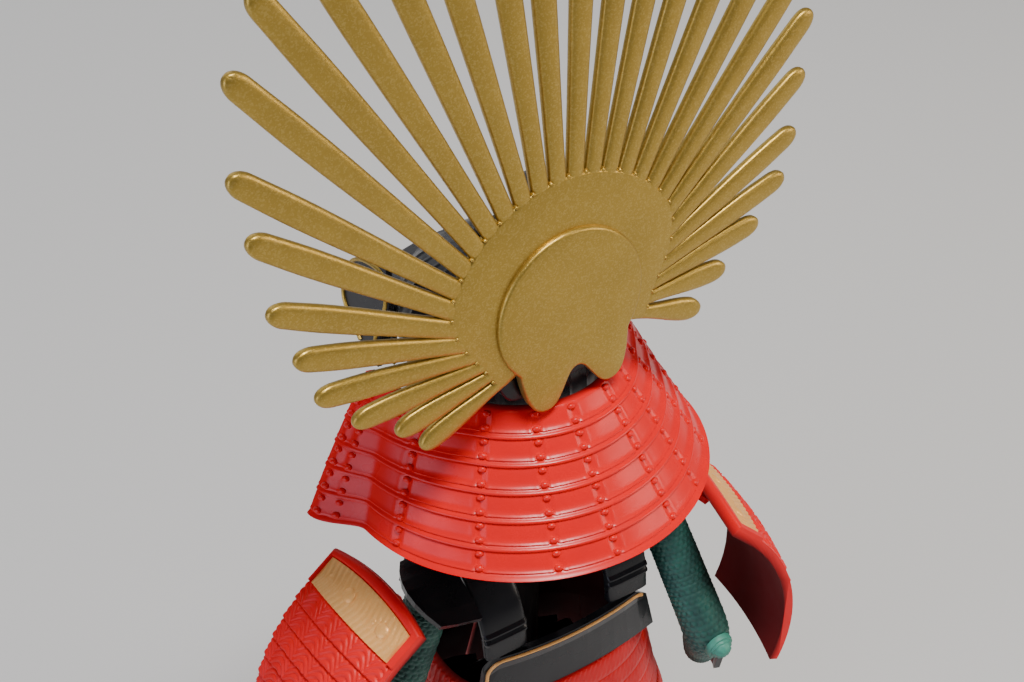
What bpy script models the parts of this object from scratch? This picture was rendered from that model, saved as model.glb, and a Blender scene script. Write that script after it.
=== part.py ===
"""Miniature samurai armor, one twelfth of real size, seated on its storage chest.

The figure faces -Y and its left side is +X. The origin is the middle of the chest's
underside. The helmet carries a tall rear crest of flat rays round a raised disc, and a
laced neck guard. Each laced part is a shell whose rows step outward at their lower edges.
"""
import math

import bmesh
import bpy
import numpy as np
from mathutils import Matrix, Vector

# Clearance between pieces that touch
SEAT = 0.0003

# Storage chest and its lid
CHEST_WIDTH = 0.024
CHEST_DEPTH = 0.0184
CHEST_HEIGHT = 0.0355
CHEST_EDGE = 0.0005
LID_HEIGHT = 0.0042
LID_OVERHANG = 0.0005

# Stand inside the armor
POST_RADIUS = 0.0016
BAR_RADIUS = 0.0012
BLOCK_WIDTH = 0.0148
BLOCK_DEPTH = 0.0172
BLOCK_HEIGHT = 0.0206

# Heights of the armor's main levels
CREST_LEVEL = 0.117
WAIST_LEVEL = 0.046
BAND_TOP_LEVEL = 0.071
BAND_HEIGHT = 0.0075
SHOULDER_LEVEL = 0.081
RIM_DROP = 0.024

# Helmet's place on the body: a slight turn of the head to its left
HEAD_TURN = math.radians(5)
HEAD_SHIFT = 0.001

# Rear crest
CREST_SETBACK = 0.0083
CREST_LEAN = math.radians(9)
CREST_DISC_RADIUS = 0.0076
CREST_RELIEF = 0.00045
CREST_THICKNESS = 0.001
CREST_EDGE = 0.00022
CREST_HALF_RAYS = 14
CREST_HALF_WIDTH = 0.027
CREST_HALF_HEIGHT = 0.0272
CREST_MIDDLE = 0.0182
CREST_FOCUS = -0.0038
CREST_SQUARENESS = 2.5
RAY_ROOT_STEP = math.radians(8.05)
RAY_ROOT_GROWTH = math.radians(0.042)
RAY_STEP = math.radians(5.45)
RAY_GROWTH = math.radians(0.13)
RAY_WIDTH_TOP = 0.0025
RAY_WIDTH_SIDE = 0.0019
RAY_GAP = 0.00028
ROOT_RADIUS_TOP = 0.0125
ROOT_RADIUS_END = 0.0093
LEG_LENGTH = 0.0097
LEG_WIDTH = 0.0039
LEG_NOTCH = 0.0064

# Helmet bowl with its upright board
BOWL_HALF_WIDTH = 0.0094
BOWL_HALF_DEPTH = 0.0111
BOWL_HEIGHT = 0.0105
BOWL_FORWARD = 0.003
BOWL_WALL = 0.001
BOWL_RIM_DROP = 0.0115
BOARD_THICKNESS = 0.0012
BOARD_TOP = 0.0105
BOARD_BOTTOM = 0.0088
BOARD_HALF_WIDTH = 0.0082
BOARD_CORNER = 0.002
VISOR_REACH = 0.0032
VISOR_SPREAD = math.radians(58)
VISOR_WALL = 0.0008
TURN_BACK_THICKNESS = 0.0009
TURN_BACK_INSET = 0.0012
TURN_BACK_TILT = math.radians(7)
TURN_BACK_LIFT = {"left": 0.0, "right": 0.0014}

# Laced neck guard
GUARD_ROWS = 6
GUARD_WALL = 0.0009
GUARD_RIM_RADIUS = 0.0183
GUARD_TOP_DROP = 0.0116
GUARD_END_TOP = math.radians(115)
GUARD_END_RIM = math.radians(104)
GUARD_TOP_FLARE = 0.0029
GUARD_RIM_FLARE = 0.0036
GUARD_FLARE_FROM = 0.86
GUARD_TURN = math.radians(-4)
GUARD_TILT = math.radians(8)
GUARD_ROLL = math.radians(-4.5)
GUARD_STEP = 0.00036
GUARD_RIDGE = 0.00052

# Where a laced row's ridge and lip lie, as shares of its height
RIDGE_SHARE = 0.7
LIP_SHARE = 0.88

# Face mask and throat guard
MASK_WALL = 0.0008
MASK_HALF_WIDTH = 0.0084
MASK_HALF_DEPTH = 0.0098
MASK_TOP_DROP = 0.0124
MASK_HEIGHT = 0.0098
MASK_NOSE = 0.0017
MASK_SPREAD = math.radians(78)
THROAT_ROWS = 4
THROAT_HEIGHT = 0.0145
THROAT_FLARE = 0.0042
THROAT_SPREAD = math.radians(72)
THROAT_RIDGE = 0.0003
THROAT_STEP = 0.00025

# Cuirass
CUIRASS_ROWS = 5
CUIRASS_WALL = 0.0008
CUIRASS_TOP_HALF_WIDTH = 0.0126
CUIRASS_TOP_HALF_DEPTH = 0.011
CUIRASS_WAIST_HALF_WIDTH = 0.0162
CUIRASS_WAIST_HALF_DEPTH = 0.0123
CUIRASS_SQUARENESS = 2.6
CUIRASS_STEP = 0.0003
BAND_HALF_WIDTH = 0.0102
BAND_HALF_DEPTH = 0.0104
BAND_CORNER = 0.0018
BAND_WALL = 0.001
BAND_ROLL = 0.0002
STRAP_OFFSET = 0.0075
STRAP_WIDTH = 0.005
STRAP_THICKNESS = 0.0013
WING_REACH = 0.0058
WING_LENGTH = 0.0105
WING_THICKNESS = 0.0009
WING_DROP = 0.0006
WING_RISE = 0.0008
WING_ARCH = 0.0012

# Shoulder guards: where the top edge lies, and how each one hangs
SODE_PLACE = {"left": (0.0194, 0.0048, 0.0846), "right": (0.0181, 0.0078, 0.0813)}
SODE_WIDTH = 0.0139
SODE_TOE = math.radians(11)
SODE_CROWN_HEIGHT = 0.0042
SODE_ROWS = 5
SODE_ROW_HEIGHT = 0.0043
SODE_WALL = 0.0009
SODE_BOW = 0.0005
SODE_ARCH = 0.0013
SODE_STEP = 0.0003
SODE_CROWN_ANGLE = math.radians(60)
SODE_FIRST_ANGLE = math.radians(55)
SODE_LAST_ANGLE = math.radians(-5)
SODE_TILT = {"left": 0.0, "right": math.radians(16)}
SODE_SWING = {"left": 0.0, "right": math.radians(7.5)}
CROWN_PLATE_THICKNESS = 0.0004
CROWN_PLATE_MARGIN = 0.0009
CROWN_BOSS_RADIUS = 0.00085
TOGGLE_RADIUS = 0.0006
TOGGLE_DROP = 0.0012

# Sleeves, elbow bosses and hand guards
SLEEVE_TOP_X = 0.0143
SLEEVE_TOP_Y = 0.004
SLEEVE_RADIUS = 0.0021
ELBOW_RADIUS = 0.0024
WRIST_RADIUS = 0.0018
ELBOW_X = {"left": 0.0200, "right": 0.0166}
ELBOW_Y = {"left": 0.005, "right": 0.0125}
ELBOW_LEVEL = 0.062
WRIST_X = 0.0222
WRIST_Y = {"left": -0.002, "right": 0.006}
WRIST_LEVEL = 0.0455
BOSS_RADIUS = 0.0017
HAND_LENGTH = 0.006
HAND_WIDTH = 0.0044
HAND_THICKNESS = 0.0008
HAND_BOW = 0.0004

# Skirt of laced panels round the waist
SKIRT_PANELS = 7
SKIRT_ROWS = 4
SKIRT_LENGTH = 0.0185
SKIRT_FLARE_WIDTH = 0.004
SKIRT_FLARE_DEPTH = 0.0046
SKIRT_GAP = math.radians(4.0)
SKIRT_WALL = 0.0008
SKIRT_STEP = 0.0003

# Thigh and shin guards in front of the chest
THIGH_WIDTH = 0.0104
THIGH_LENGTH = 0.0205
THIGH_TAPER = 0.12
THIGH_BOW = 0.0013
LEG_SPACING = 0.0061
SHIN_RADIUS = 0.0038
SHIN_HEIGHT = 0.0165
SHIN_WALL = 0.0008

SIDES = {"left": 1, "right": -1}
COLOURS = {
    "gold": ((0.52, 0.36, 0.09, 1), 0.38, 0.85),
    "red": ((0.72, 0.02, 0.02, 1), 0.28, 0.0),
    "black": ((0.012, 0.012, 0.014, 1), 0.2, 0.0),
    "green": ((0.02, 0.09, 0.07, 1), 0.85, 0.0),
    "wood": ((0.16, 0.07, 0.03, 1), 0.5, 0.0),
}


def clear_scene():
    for old in list(bpy.data.objects):
        bpy.data.objects.remove(old, do_unlink=True)


def make_collection(name):
    collection = bpy.data.collections.new(name)
    bpy.context.scene.collection.children.link(collection)
    return collection


def make_material(name):
    colour, roughness, metallic = COLOURS[name]
    material = bpy.data.materials.new(name)
    material.use_nodes = True
    shader = material.node_tree.nodes["Principled BSDF"]
    shader.inputs["Base Color"].default_value = colour
    shader.inputs["Roughness"].default_value = roughness
    shader.inputs["Metallic"].default_value = metallic
    return material


def add_object(name, data, finish, parent=None):
    piece = bpy.data.objects.new(name, data)
    if finish is None:
        piece.hide_render = True
        piece.display_type = "WIRE"
        CUTTERS.objects.link(piece)
    else:
        data.materials.append(MATERIALS[finish])
        ARMOR.objects.link(piece)
    piece.parent = parent
    return piece


def add_empty(name, location=(0, 0, 0), rotation=(0, 0, 0), parent=None):
    empty = bpy.data.objects.new(name, None)
    empty.location = location
    empty.rotation_euler = rotation
    empty.parent = parent
    ARMOR.objects.link(empty)
    return empty


def sheet_mesh(name, grid):
    """An open sheet from a grid of points, whose normal is (next column) x (next row)."""
    rows, columns = grid.shape[:2]
    index = np.arange(rows * columns).reshape(rows, columns)
    corners = (index[:-1, :-1], index[:-1, 1:], index[1:, 1:], index[1:, :-1])
    faces = np.stack(corners, axis=-1).reshape(-1, 4)
    mesh = bpy.data.meshes.new(name)
    mesh.from_pydata(grid.reshape(-1, 3).tolist(), [], faces.tolist())
    return mesh


def add_shell(name, grid, wall, finish, parent=None):
    """A shell: an open sheet given its wall on the inner side."""
    mesh = sheet_mesh(name, grid)
    mesh.shade_smooth()
    mesh.set_sharp_from_angle(angle=math.radians(35))
    shell = add_object(name, mesh, finish, parent)
    solidify = shell.modifiers.new("wall", "SOLIDIFY")
    solidify.thickness = wall
    solidify.offset = -1
    return shell


def add_lined_shell(name, outer, inner, finish, parent=None):
    """A closed shell lofted between unlike sections: a stepped outside, a smooth inside."""
    rows, columns = outer.shape[:2]
    loop = np.concatenate([outer, inner[::-1]])
    index = np.arange(len(loop) * columns).reshape(-1, columns)
    wrapped = np.vstack([index, index[:1]])
    corners = (wrapped[:-1, :-1], wrapped[:-1, 1:], wrapped[1:, 1:], wrapped[1:, :-1])
    faces = np.stack(corners, axis=-1).reshape(-1, 4).tolist()
    for row in range(rows - 1):
        back = 2 * rows - 1 - row
        for column in (0, columns - 1):
            end = [index[row, column], index[row + 1, column], index[back - 1, column], index[back, column]]
            faces.append([int(corner) for corner in (end if column == 0 else reversed(end))])
    mesh = bpy.data.meshes.new(name)
    mesh.from_pydata(loop.reshape(-1, 3).tolist(), [], faces)
    mesh.shade_smooth()
    mesh.set_sharp_from_angle(angle=math.radians(35))
    return add_object(name, mesh, finish, parent)


def mesh_from_curve(curve, transform=None):
    """The evaluated curve as a mesh with its caps welded."""
    piece = bpy.data.objects.new("outline", curve)
    ARMOR.objects.link(piece)
    depsgraph = bpy.context.evaluated_depsgraph_get()
    mesh = bpy.data.meshes.new_from_object(piece.evaluated_get(depsgraph))
    bpy.data.objects.remove(piece, do_unlink=True)
    body = bmesh.new()
    body.from_mesh(mesh)
    bmesh.ops.remove_doubles(body, verts=body.verts, dist=0.000002)
    bmesh.ops.recalc_face_normals(body, faces=body.faces)
    body.to_mesh(mesh)
    body.free()
    mesh.materials.clear()
    if transform is not None:
        mesh.transform(transform)
    return mesh


def slab_mesh(name, outline, thickness, edge):
    """A flat outline in X and Z, centred on Y, with its thickness and chamfered edges."""
    curve = bpy.data.curves.new(name, "CURVE")
    curve.dimensions = "2D"
    curve.fill_mode = "BOTH"
    curve.extrude = thickness / 2 - edge
    curve.bevel_depth = edge
    curve.bevel_resolution = 0
    curve.offset = -edge
    spline = curve.splines.new("POLY")
    spline.points.add(len(outline) - 1)
    for point, (x, z) in zip(spline.points, outline):
        point.co = (x, z, 0, 1)
    spline.use_cyclic_u = True
    return mesh_from_curve(curve, Matrix.Rotation(math.pi / 2, 4, "X"))


def add_tube(name, points, radii, finish, parent=None, sides=4):
    """A round bar along points, with its own radius at each and flat filled ends."""
    curve = bpy.data.curves.new(name, "CURVE")
    curve.dimensions = "3D"
    curve.bevel_depth = 1.0
    curve.bevel_resolution = sides
    curve.use_fill_caps = True
    spline = curve.splines.new("POLY")
    spline.points.add(len(points) - 1)
    for point, place, radius in zip(spline.points, points, radii):
        point.co = (*place, 1)
        point.radius = radius
    spline.use_smooth = True
    return add_object(name, curve, finish, parent)


def smooth_path(stations, count):
    """Points spread evenly along a Catmull-Rom curve through the stations."""
    stations = np.array(stations, dtype=float)
    ends = np.vstack([2 * stations[0] - stations[1], stations, 2 * stations[-1] - stations[-2]])
    spans = len(stations) - 1
    places = []
    for value in np.linspace(0, spans, count):
        span = min(int(value), spans - 1)
        t = value - span
        a, b, c, d = ends[span:span + 4]
        curve = 2 * b + (c - a) * t + (2 * a - 5 * b + 4 * c - d) * t**2
        places.append(0.5 * (curve + (3 * b - a - 3 * c + d) * t**3))
    return np.array(places)


def union(target, other):
    join = target.modifiers.new("join", "BOOLEAN")
    join.operation = "UNION"
    join.object = other
    return join


def row_profile(rows, ridge, step):
    """For stepped rows: how far down each point lies, from 0 to 1, and how proud it is."""
    down = []
    proud = []
    for row in range(rows):
        down += [row / rows, (row + RIDGE_SHARE) / rows, (row + LIP_SHARE) / rows]
        proud += [0.0, ridge, step]
    return np.array(down + [1.0]), np.array(proud + [step])


def smooth_step(value):
    value = np.clip(value, 0, 1)
    return value * value * (3 - 2 * value)


def oval(angle, half_width, half_depth, squareness=2.0):
    """A rounded oval's X and Y at an angle from the rear, +Y, towards the left, +X."""
    power = 2 / squareness
    sine, cosine = np.sin(angle), np.cos(angle)
    x = half_width * np.sign(sine) * np.abs(sine) ** power
    y = half_depth * np.sign(cosine) * np.abs(cosine) ** power
    return x, y


def bowl_reach(angle):
    """Distance from the helmet's axis to the bowl's rim at an angle from the rear."""
    sine, cosine = np.sin(angle), np.cos(angle)
    a = (sine / BOWL_HALF_WIDTH) ** 2 + (cosine / BOWL_HALF_DEPTH) ** 2
    b = 2 * cosine * BOWL_FORWARD / BOWL_HALF_DEPTH**2
    c = (BOWL_FORWARD / BOWL_HALF_DEPTH) ** 2 - 1
    return (-b + np.sqrt(b * b - 4 * a * c)) / (2 * a)


def crest_reach(angle):
    """Distance from the rays' focus to the crest's outline, by halving the interval."""
    near, far = 0.0, 4 * CREST_HALF_HEIGHT
    for _ in range(40):
        reach = (near + far) / 2
        u = abs(reach * math.sin(angle)) / CREST_HALF_WIDTH
        v = abs(CREST_FOCUS + reach * math.cos(angle) - CREST_MIDDLE) / CREST_HALF_HEIGHT
        if u**CREST_SQUARENESS + v**CREST_SQUARENESS < 1:
            near = reach
        else:
            far = reach
    return near


def root_corner(number, side):
    """The foot of a ray's edge, beside the notch between it and its neighbour."""
    place = number + side / 2
    turn = RAY_ROOT_STEP * place + RAY_ROOT_GROWTH * place * abs(place)
    lower = smooth_step((abs(turn) - math.radians(60)) / math.radians(50))
    radius = float(ROOT_RADIUS_TOP + (ROOT_RADIUS_END - ROOT_RADIUS_TOP) * lower)
    turn -= side * RAY_GAP / 2 / radius
    return radius * Vector((math.sin(turn), math.cos(turn)))


def ray_outline(number):
    """One ray's points, from its left root round its tip to its right root."""
    turn = RAY_STEP * number + RAY_GROWTH * number * abs(number)
    tip = Vector((0, CREST_FOCUS)) + crest_reach(turn) * Vector((math.sin(turn), math.cos(turn)))
    left, right = root_corner(number, -1), root_corner(number, 1)
    along = (tip - (left + right) / 2).normalized()
    across = Vector((along.y, -along.x))
    share = abs(number) / CREST_HALF_RAYS
    width = RAY_WIDTH_TOP + (RAY_WIDTH_SIDE - RAY_WIDTH_TOP) * share
    centre = tip - along * width / 2
    points = [left]
    for bend in np.linspace(math.pi, 0, 5):
        points.append(centre + width / 2 * (math.cos(bend) * across + math.sin(bend) * along))
    return points + [right]


def leg_outline(inset):
    """The crest's two rounded feet, right one first, drawn in by an inset."""
    outer = math.sqrt(CREST_DISC_RADIUS**2 - (0.5 * LEG_LENGTH) ** 2)
    half = [
        (outer - inset, -0.5 * LEG_LENGTH),
        (outer - 0.0006 - inset, -0.8 * LEG_LENGTH),
        (outer - 0.0017 - inset, -0.97 * LEG_LENGTH + inset),
        (outer - 0.75 * LEG_WIDTH, -LEG_LENGTH + inset),
        (outer - LEG_WIDTH - 0.0005 + inset, -0.86 * LEG_LENGTH + inset),
        (0.0007 + inset, -LEG_NOTCH - 0.0006 + inset),
        (0.0, -LEG_NOTCH + inset),
    ]
    return half + [(-x, z) for x, z in reversed(half[:-1])]


def build_crest(parent):
    """One flat piece: the rays round a plate, with a raised disc that runs into two feet."""
    outline = []
    for number in range(-CREST_HALF_RAYS, CREST_HALF_RAYS + 1):
        outline += [tuple(point) for point in ray_outline(number)]
    outline += leg_outline(CREST_EDGE)
    plate = slab_mesh("rear_crest", outline, CREST_THICKNESS, CREST_EDGE)
    plate_place = -CREST_RELIEF - CREST_THICKNESS / 2
    plate.transform(Matrix.Translation((0, plate_place, 0)))
    crest = add_object("rear_crest", plate, "gold", parent)

    arc_end = math.acos(-0.5 * LEG_LENGTH / CREST_DISC_RADIUS)
    disc = []
    for angle in np.linspace(-arc_end, arc_end, 29)[1:-1]:
        disc.append((CREST_DISC_RADIUS * math.sin(angle), CREST_DISC_RADIUS * math.cos(angle)))
    disc += leg_outline(0.0)
    depth = CREST_RELIEF + CREST_THICKNESS - 0.00008
    raised = slab_mesh("crest_relief", disc, depth, CREST_EDGE * 0.7)
    raised.transform(Matrix.Translation((0, -depth / 2, 0)))
    union(crest, add_object("crest_relief", raised, None, parent))
    return crest


def board_outline():
    """The upright board's flared outline with rounded upper corners."""
    base = 0.8 * BOARD_HALF_WIDTH
    points = [(base, -BOARD_BOTTOM)]
    for angle in np.linspace(0, math.pi / 2, 5):
        x = BOARD_HALF_WIDTH - BOARD_CORNER * (1 - math.cos(angle))
        points.append((x, BOARD_TOP - BOARD_CORNER * (1 - math.sin(angle))))
    return points + [(-x, z) for x, z in reversed(points)]


def build_bowl(head, crest_seat):
    """Half an ellipsoid as a shell, and the board that stands behind it, moulded in one."""
    mesh = bpy.data.meshes.new("helmet_bowl")
    body = bmesh.new()
    bmesh.ops.create_uvsphere(body, u_segments=20, v_segments=12, radius=1.0)
    bmesh.ops.bisect_plane(
        body, geom=body.verts[:] + body.edges[:] + body.faces[:], dist=0.00001,
        plane_co=(0, 0, 0), plane_no=(0, 0, -1), clear_outer=True)
    scale = Matrix.Diagonal((BOWL_HALF_WIDTH, BOWL_HALF_DEPTH, BOWL_HEIGHT, 1))
    place = Matrix.Translation((0, -BOWL_FORWARD, -BOWL_RIM_DROP))
    bmesh.ops.transform(body, matrix=place @ scale, verts=body.verts)
    body.to_mesh(mesh)
    body.free()
    mesh.shade_smooth()
    bowl = add_object("helmet_bowl", mesh, "black", head)
    wall = bowl.modifiers.new("wall", "SOLIDIFY")
    wall.thickness = BOWL_WALL
    wall.offset = -1

    board = slab_mesh("helmet_board", board_outline(), BOARD_THICKNESS, CREST_EDGE)
    board_place = -CREST_RELIEF - CREST_THICKNESS - SEAT - BOARD_THICKNESS / 2
    board.transform(Matrix.Translation((0, board_place, 0)))
    union(bowl, add_object("helmet_board", board, None, crest_seat))
    return bowl


def build_visor(head):
    """A crescent over the brow: from the bowl's rim outward, widest in front."""
    angle = np.linspace(math.pi - VISOR_SPREAD, math.pi + VISOR_SPREAD, 13)
    swell = np.cos((angle - math.pi) / VISOR_SPREAD * math.pi / 2) ** 0.6
    grid = []
    for share in (0.0, 0.5, 1.0):
        reach = bowl_reach(angle) + SEAT + (0.0006 + VISOR_REACH * swell) * share
        drop = BOWL_RIM_DROP - 0.0004 + 0.0016 * share**1.5
        x, y = reach * np.sin(angle), reach * np.cos(angle)
        grid.append(np.stack([x, y, np.full_like(x, -drop)], axis=-1))
    return add_shell("brow_visor", np.array(grid)[:, ::-1], VISOR_WALL, "black", head)


def guard_top_reach(angle, flare):
    """Distance from the helmet's axis to the outside of the neck guard's upper edge."""
    return bowl_reach(angle) + 2 * SEAT + GUARD_WALL + flare


def build_turn_back(side, seat):
    """The rounded plate that turns back beside the brow, in front of the neck guard's end."""
    sign = SIDES[side]
    end = GUARD_END_TOP + sign * GUARD_TURN
    end_reach = guard_top_reach(end, GUARD_TOP_FLARE)
    rear = end_reach * math.cos(end) - SEAT
    shape = [
        (0.0, -0.0005), (0.0, 0.0028), (-0.0012, 0.0055), (-0.0015, 0.0085), (-0.0004, 0.0103),
        (0.0036, 0.0098), (0.006, 0.0078), (0.0067, 0.0038), (0.003, 0.0005)]
    outline = [(rear - forward, level + TURN_BACK_LIFT[side]) for forward, level in shape]
    mesh = slab_mesh("turn_back_" + side, outline, TURN_BACK_THICKNESS, CREST_EDGE)
    mesh.transform(Matrix.Rotation(math.pi / 2, 4, "Z"))
    mesh.transform(Matrix.Rotation(-sign * TURN_BACK_TILT, 4, "Y"))
    across = sign * (end_reach * math.sin(end) - GUARD_WALL / 2 - TURN_BACK_INSET)
    mesh.transform(Matrix.Translation((across, 0, 0)))
    return add_object("turn_back_" + side, mesh, "black", seat)


def build_neck_guard(seat):
    """Six rows from the bowl's rim to a wide round rim, flared where the ends stop."""
    down, proud = row_profile(GUARD_ROWS, GUARD_RIDGE, GUARD_STEP)
    down = down[:, None]
    spread = np.linspace(-1, 1, 21)[None, :]
    size = np.abs(spread)
    angle = spread * (GUARD_END_TOP + (GUARD_END_RIM - GUARD_END_TOP) * down) + GUARD_TURN
    top_flare = GUARD_TOP_FLARE * smooth_step((size - 0.5) / 0.5)
    top = guard_top_reach(spread * GUARD_END_TOP + GUARD_TURN, top_flare)
    flare = smooth_step((size - GUARD_FLARE_FROM) / (1 - GUARD_FLARE_FROM))
    rim = GUARD_RIM_RADIUS + GUARD_RIM_FLARE * flare
    level = BOWL_RIM_DROP - GUARD_TOP_DROP - (RIM_DROP - GUARD_TOP_DROP) * down
    grids = []
    for stand in (proud[:, None], -GUARD_WALL):
        reach = top + (rim - top) * down + stand
        grids.append(np.stack([reach * np.sin(angle), reach * np.cos(angle), level + 0 * angle], axis=-1))
    return add_lined_shell("neck_guard", *grids, "red", seat)


def build_mask(head):
    """A plain half mask over the nose, cheeks and chin."""
    down = np.linspace(0, 1, 7)[:, None]
    spread = np.linspace(-1, 1, 13)[None, :]
    angle = math.pi + spread * MASK_SPREAD
    narrow = 1 - 0.22 * down**2
    x, y = oval(angle, MASK_HALF_WIDTH * narrow, MASK_HALF_DEPTH * (1 - 0.12 * down**2))
    nose = MASK_NOSE * np.exp(-((spread / 0.17) ** 2) - ((down - 0.28) / 0.2) ** 2)
    chin = 0.0006 * np.exp(-((spread / 0.3) ** 2) - ((down - 0.95) / 0.15) ** 2)
    dip = 0.0005 * (1 - np.abs(spread)) * (1 - down)
    z = -MASK_TOP_DROP - MASK_HEIGHT * down + dip
    y = y - BOWL_FORWARD - nose - chin
    grid = np.stack([x, y, z + 0 * x], axis=-1)
    return add_shell("face_mask", grid, MASK_WALL, "black", head)


def build_throat_guard(head):
    """Laced rows that hang from the mask's lower edge to the collar."""
    down, proud = row_profile(THROAT_ROWS, THROAT_RIDGE, THROAT_STEP)
    down, proud = down[:, None], proud[:, None]
    angle = math.pi + np.linspace(-1, 1, 9)[None, :] * THROAT_SPREAD
    clear = SEAT + MASK_WALL
    width = MASK_HALF_WIDTH * 0.8 + clear + THROAT_FLARE * down + proud
    depth = MASK_HALF_DEPTH * 0.9 + clear + 0.0006 + THROAT_FLARE * 0.8 * down + proud
    x, y = oval(angle, width, depth)
    z = -MASK_TOP_DROP - MASK_HEIGHT + 0.0008 - THROAT_HEIGHT * down
    grid = np.stack([x, y - BOWL_FORWARD, z + 0 * x], axis=-1)
    return add_shell("throat_guard", grid, MASK_WALL, "red", head)


def build_head():
    """The helmet's own frame, turned a little on the body, and all that it carries."""
    head = add_empty("head", (HEAD_SHIFT, 0, CREST_LEVEL), (0, 0, HEAD_TURN))
    crest_seat = add_empty("crest_seat", (0, CREST_SETBACK, 0), (CREST_LEAN, 0, 0), head)
    build_crest(crest_seat)
    build_bowl(head, crest_seat)
    build_visor(head)
    build_mask(head)
    build_throat_guard(head)
    guard_seat = add_empty("guard_seat", (0, 0, -BOWL_RIM_DROP), (GUARD_TILT, GUARD_ROLL, 0), head)
    build_neck_guard(guard_seat)
    for side in SIDES:
        build_turn_back(side, guard_seat)


def body_grid(angle, levels, widths, depths, offset):
    """Rows of a rounded oval section at each level, moved along Y by an offset."""
    rows = []
    for level, width, depth in zip(levels, widths, depths):
        x, y = oval(angle, width, depth, CUIRASS_SQUARENESS)
        rows.append(np.stack([x, y + offset, np.full_like(x, level)], axis=-1))
    return np.array(rows)


def build_cuirass_half(name, middle, offset):
    """Laced rows of one half of the cuirass, from under the band to the waist."""
    top = BAND_TOP_LEVEL - BAND_HEIGHT - SEAT
    down, proud = row_profile(CUIRASS_ROWS, CUIRASS_STEP * 0.8, CUIRASS_STEP)
    angle = middle + np.linspace(-math.pi / 2, math.pi / 2, 11)
    width = CUIRASS_TOP_HALF_WIDTH + (CUIRASS_WAIST_HALF_WIDTH - CUIRASS_TOP_HALF_WIDTH) * down
    depth = CUIRASS_TOP_HALF_DEPTH + (CUIRASS_WAIST_HALF_DEPTH - CUIRASS_TOP_HALF_DEPTH) * down
    levels = top + (WAIST_LEVEL - top) * down
    grid = body_grid(angle, levels, width + proud, depth + proud, offset)
    return add_shell(name, grid, CUIRASS_WALL, "red")


def build_band(name, facing):
    """The smooth upper plate with rounded corners and a rolled upper edge."""
    across = np.linspace(-1, 1, 13)[None, :]
    corner = BAND_CORNER / BAND_HALF_WIDTH
    past = np.clip((np.abs(across) - 1 + corner) / corner, 0, 1)
    top_cut = BAND_CORNER * (1 - np.sqrt(1 - past**2))
    down = np.array([0.0, 0.1, 0.24, 1.0])[:, None]
    proud = np.array([0.0, BAND_ROLL, 0.0, 0.0])[:, None] * (1 - past)
    level = BAND_TOP_LEVEL - top_cut - (BAND_HEIGHT - top_cut) * down
    x = BAND_HALF_WIDTH * across * (1 + 0.1 * down)
    bulge = 0.0012 * across**2
    y = BAND_HALF_DEPTH + 0.0005 * down - bulge + proud
    grid = np.stack([x, y + 0 * x, level + 0 * x], axis=-1)
    if facing < 0:
        grid = grid * np.array([-1, -1, 1])
    return add_shell(name, grid, BAND_WALL, "black")


def build_strap(side):
    """A broad strap over the shoulder, from the back band's top to the front band's."""
    sign = SIDES[side]
    rise = SHOULDER_LEVEL - BAND_TOP_LEVEL
    end_y = BAND_HALF_DEPTH - 0.0008
    stations = [
        (end_y, SEAT), (0.93 * end_y, 0.42 * rise), (0.75 * end_y, 0.72 * rise),
        (0.42 * end_y, 0.95 * rise), (0.1 * end_y, rise), (-0.3 * end_y, 0.93 * rise),
        (-0.72 * end_y, 0.68 * rise), (-0.94 * end_y, 0.36 * rise), (-end_y, SEAT)]
    path = smooth_path(stations, 13)
    across = np.array([-0.5, -0.4, 0.4, 0.5]) * STRAP_WIDTH
    edge = np.array([-0.0003, 0, 0, -0.0003])
    tangent = np.gradient(path, axis=0)
    tangent /= np.linalg.norm(tangent, axis=1)[:, None]
    normal = np.stack([tangent[:, 1], -tangent[:, 0]], axis=-1)
    normal *= np.sign(normal[len(normal) // 2, 1])
    x = sign * STRAP_OFFSET + across[None, :] + 0 * path[:, :1]
    y = path[:, :1] + normal[:, :1] * edge[None, :]
    z = BAND_TOP_LEVEL + path[:, 1:] + normal[:, 1:] * edge[None, :]
    grid = np.stack([x, y, z], axis=-1)[::-1]
    return add_shell("shoulder_strap_" + side, grid, STRAP_THICKNESS, "black")


def wing_level(out, along):
    """Height of the wing's upper face: it rises outward and falls to both ends."""
    return SHOULDER_LEVEL - WING_DROP + WING_RISE * out - WING_ARCH * along**2


def build_wing(side):
    """A small plate that carries the shoulder's line out from the strap."""
    sign = SIDES[side]
    start = STRAP_OFFSET + STRAP_WIDTH / 2 + SEAT
    out = np.linspace(0, 1, 3)[:, None]
    along = np.linspace(-1, 1, 7)[None, :]
    x = start + WING_REACH * out * (1 - 0.25 * along**2 * out)
    y = SLEEVE_TOP_Y + WING_LENGTH / 2 * along * (1 - 0.12 * out)
    z = wing_level(out, along)
    grid = np.stack([sign * x, y + 0 * x, z + 0 * x], axis=-1)
    if sign > 0:
        grid = grid[:, ::-1]
    return add_shell("shoulder_wing_" + side, grid, WING_THICKNESS, "black")


def sode_section():
    """The shoulder guard's section: distance out, height and proudness from the top edge."""
    out, level = [0.0], [0.0]
    out.append(SODE_CROWN_HEIGHT * math.sin(SODE_CROWN_ANGLE))
    level.append(-SODE_CROWN_HEIGHT * math.cos(SODE_CROWN_ANGLE))
    for row in range(SODE_ROWS):
        turn = row / (SODE_ROWS - 1)
        angle = SODE_FIRST_ANGLE + (SODE_LAST_ANGLE - SODE_FIRST_ANGLE) * turn
        out.append(out[-1] + SODE_ROW_HEIGHT * math.sin(angle))
        level.append(level[-1] - SODE_ROW_HEIGHT * math.cos(angle))
    return np.array(out), np.array(level)


def crown_arch(down, along):
    """How far the arched top edge lifts a point of the crown board up its slope."""
    return SODE_ARCH * (1 - down / SODE_CROWN_HEIGHT) * (1 - along**2)


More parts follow.
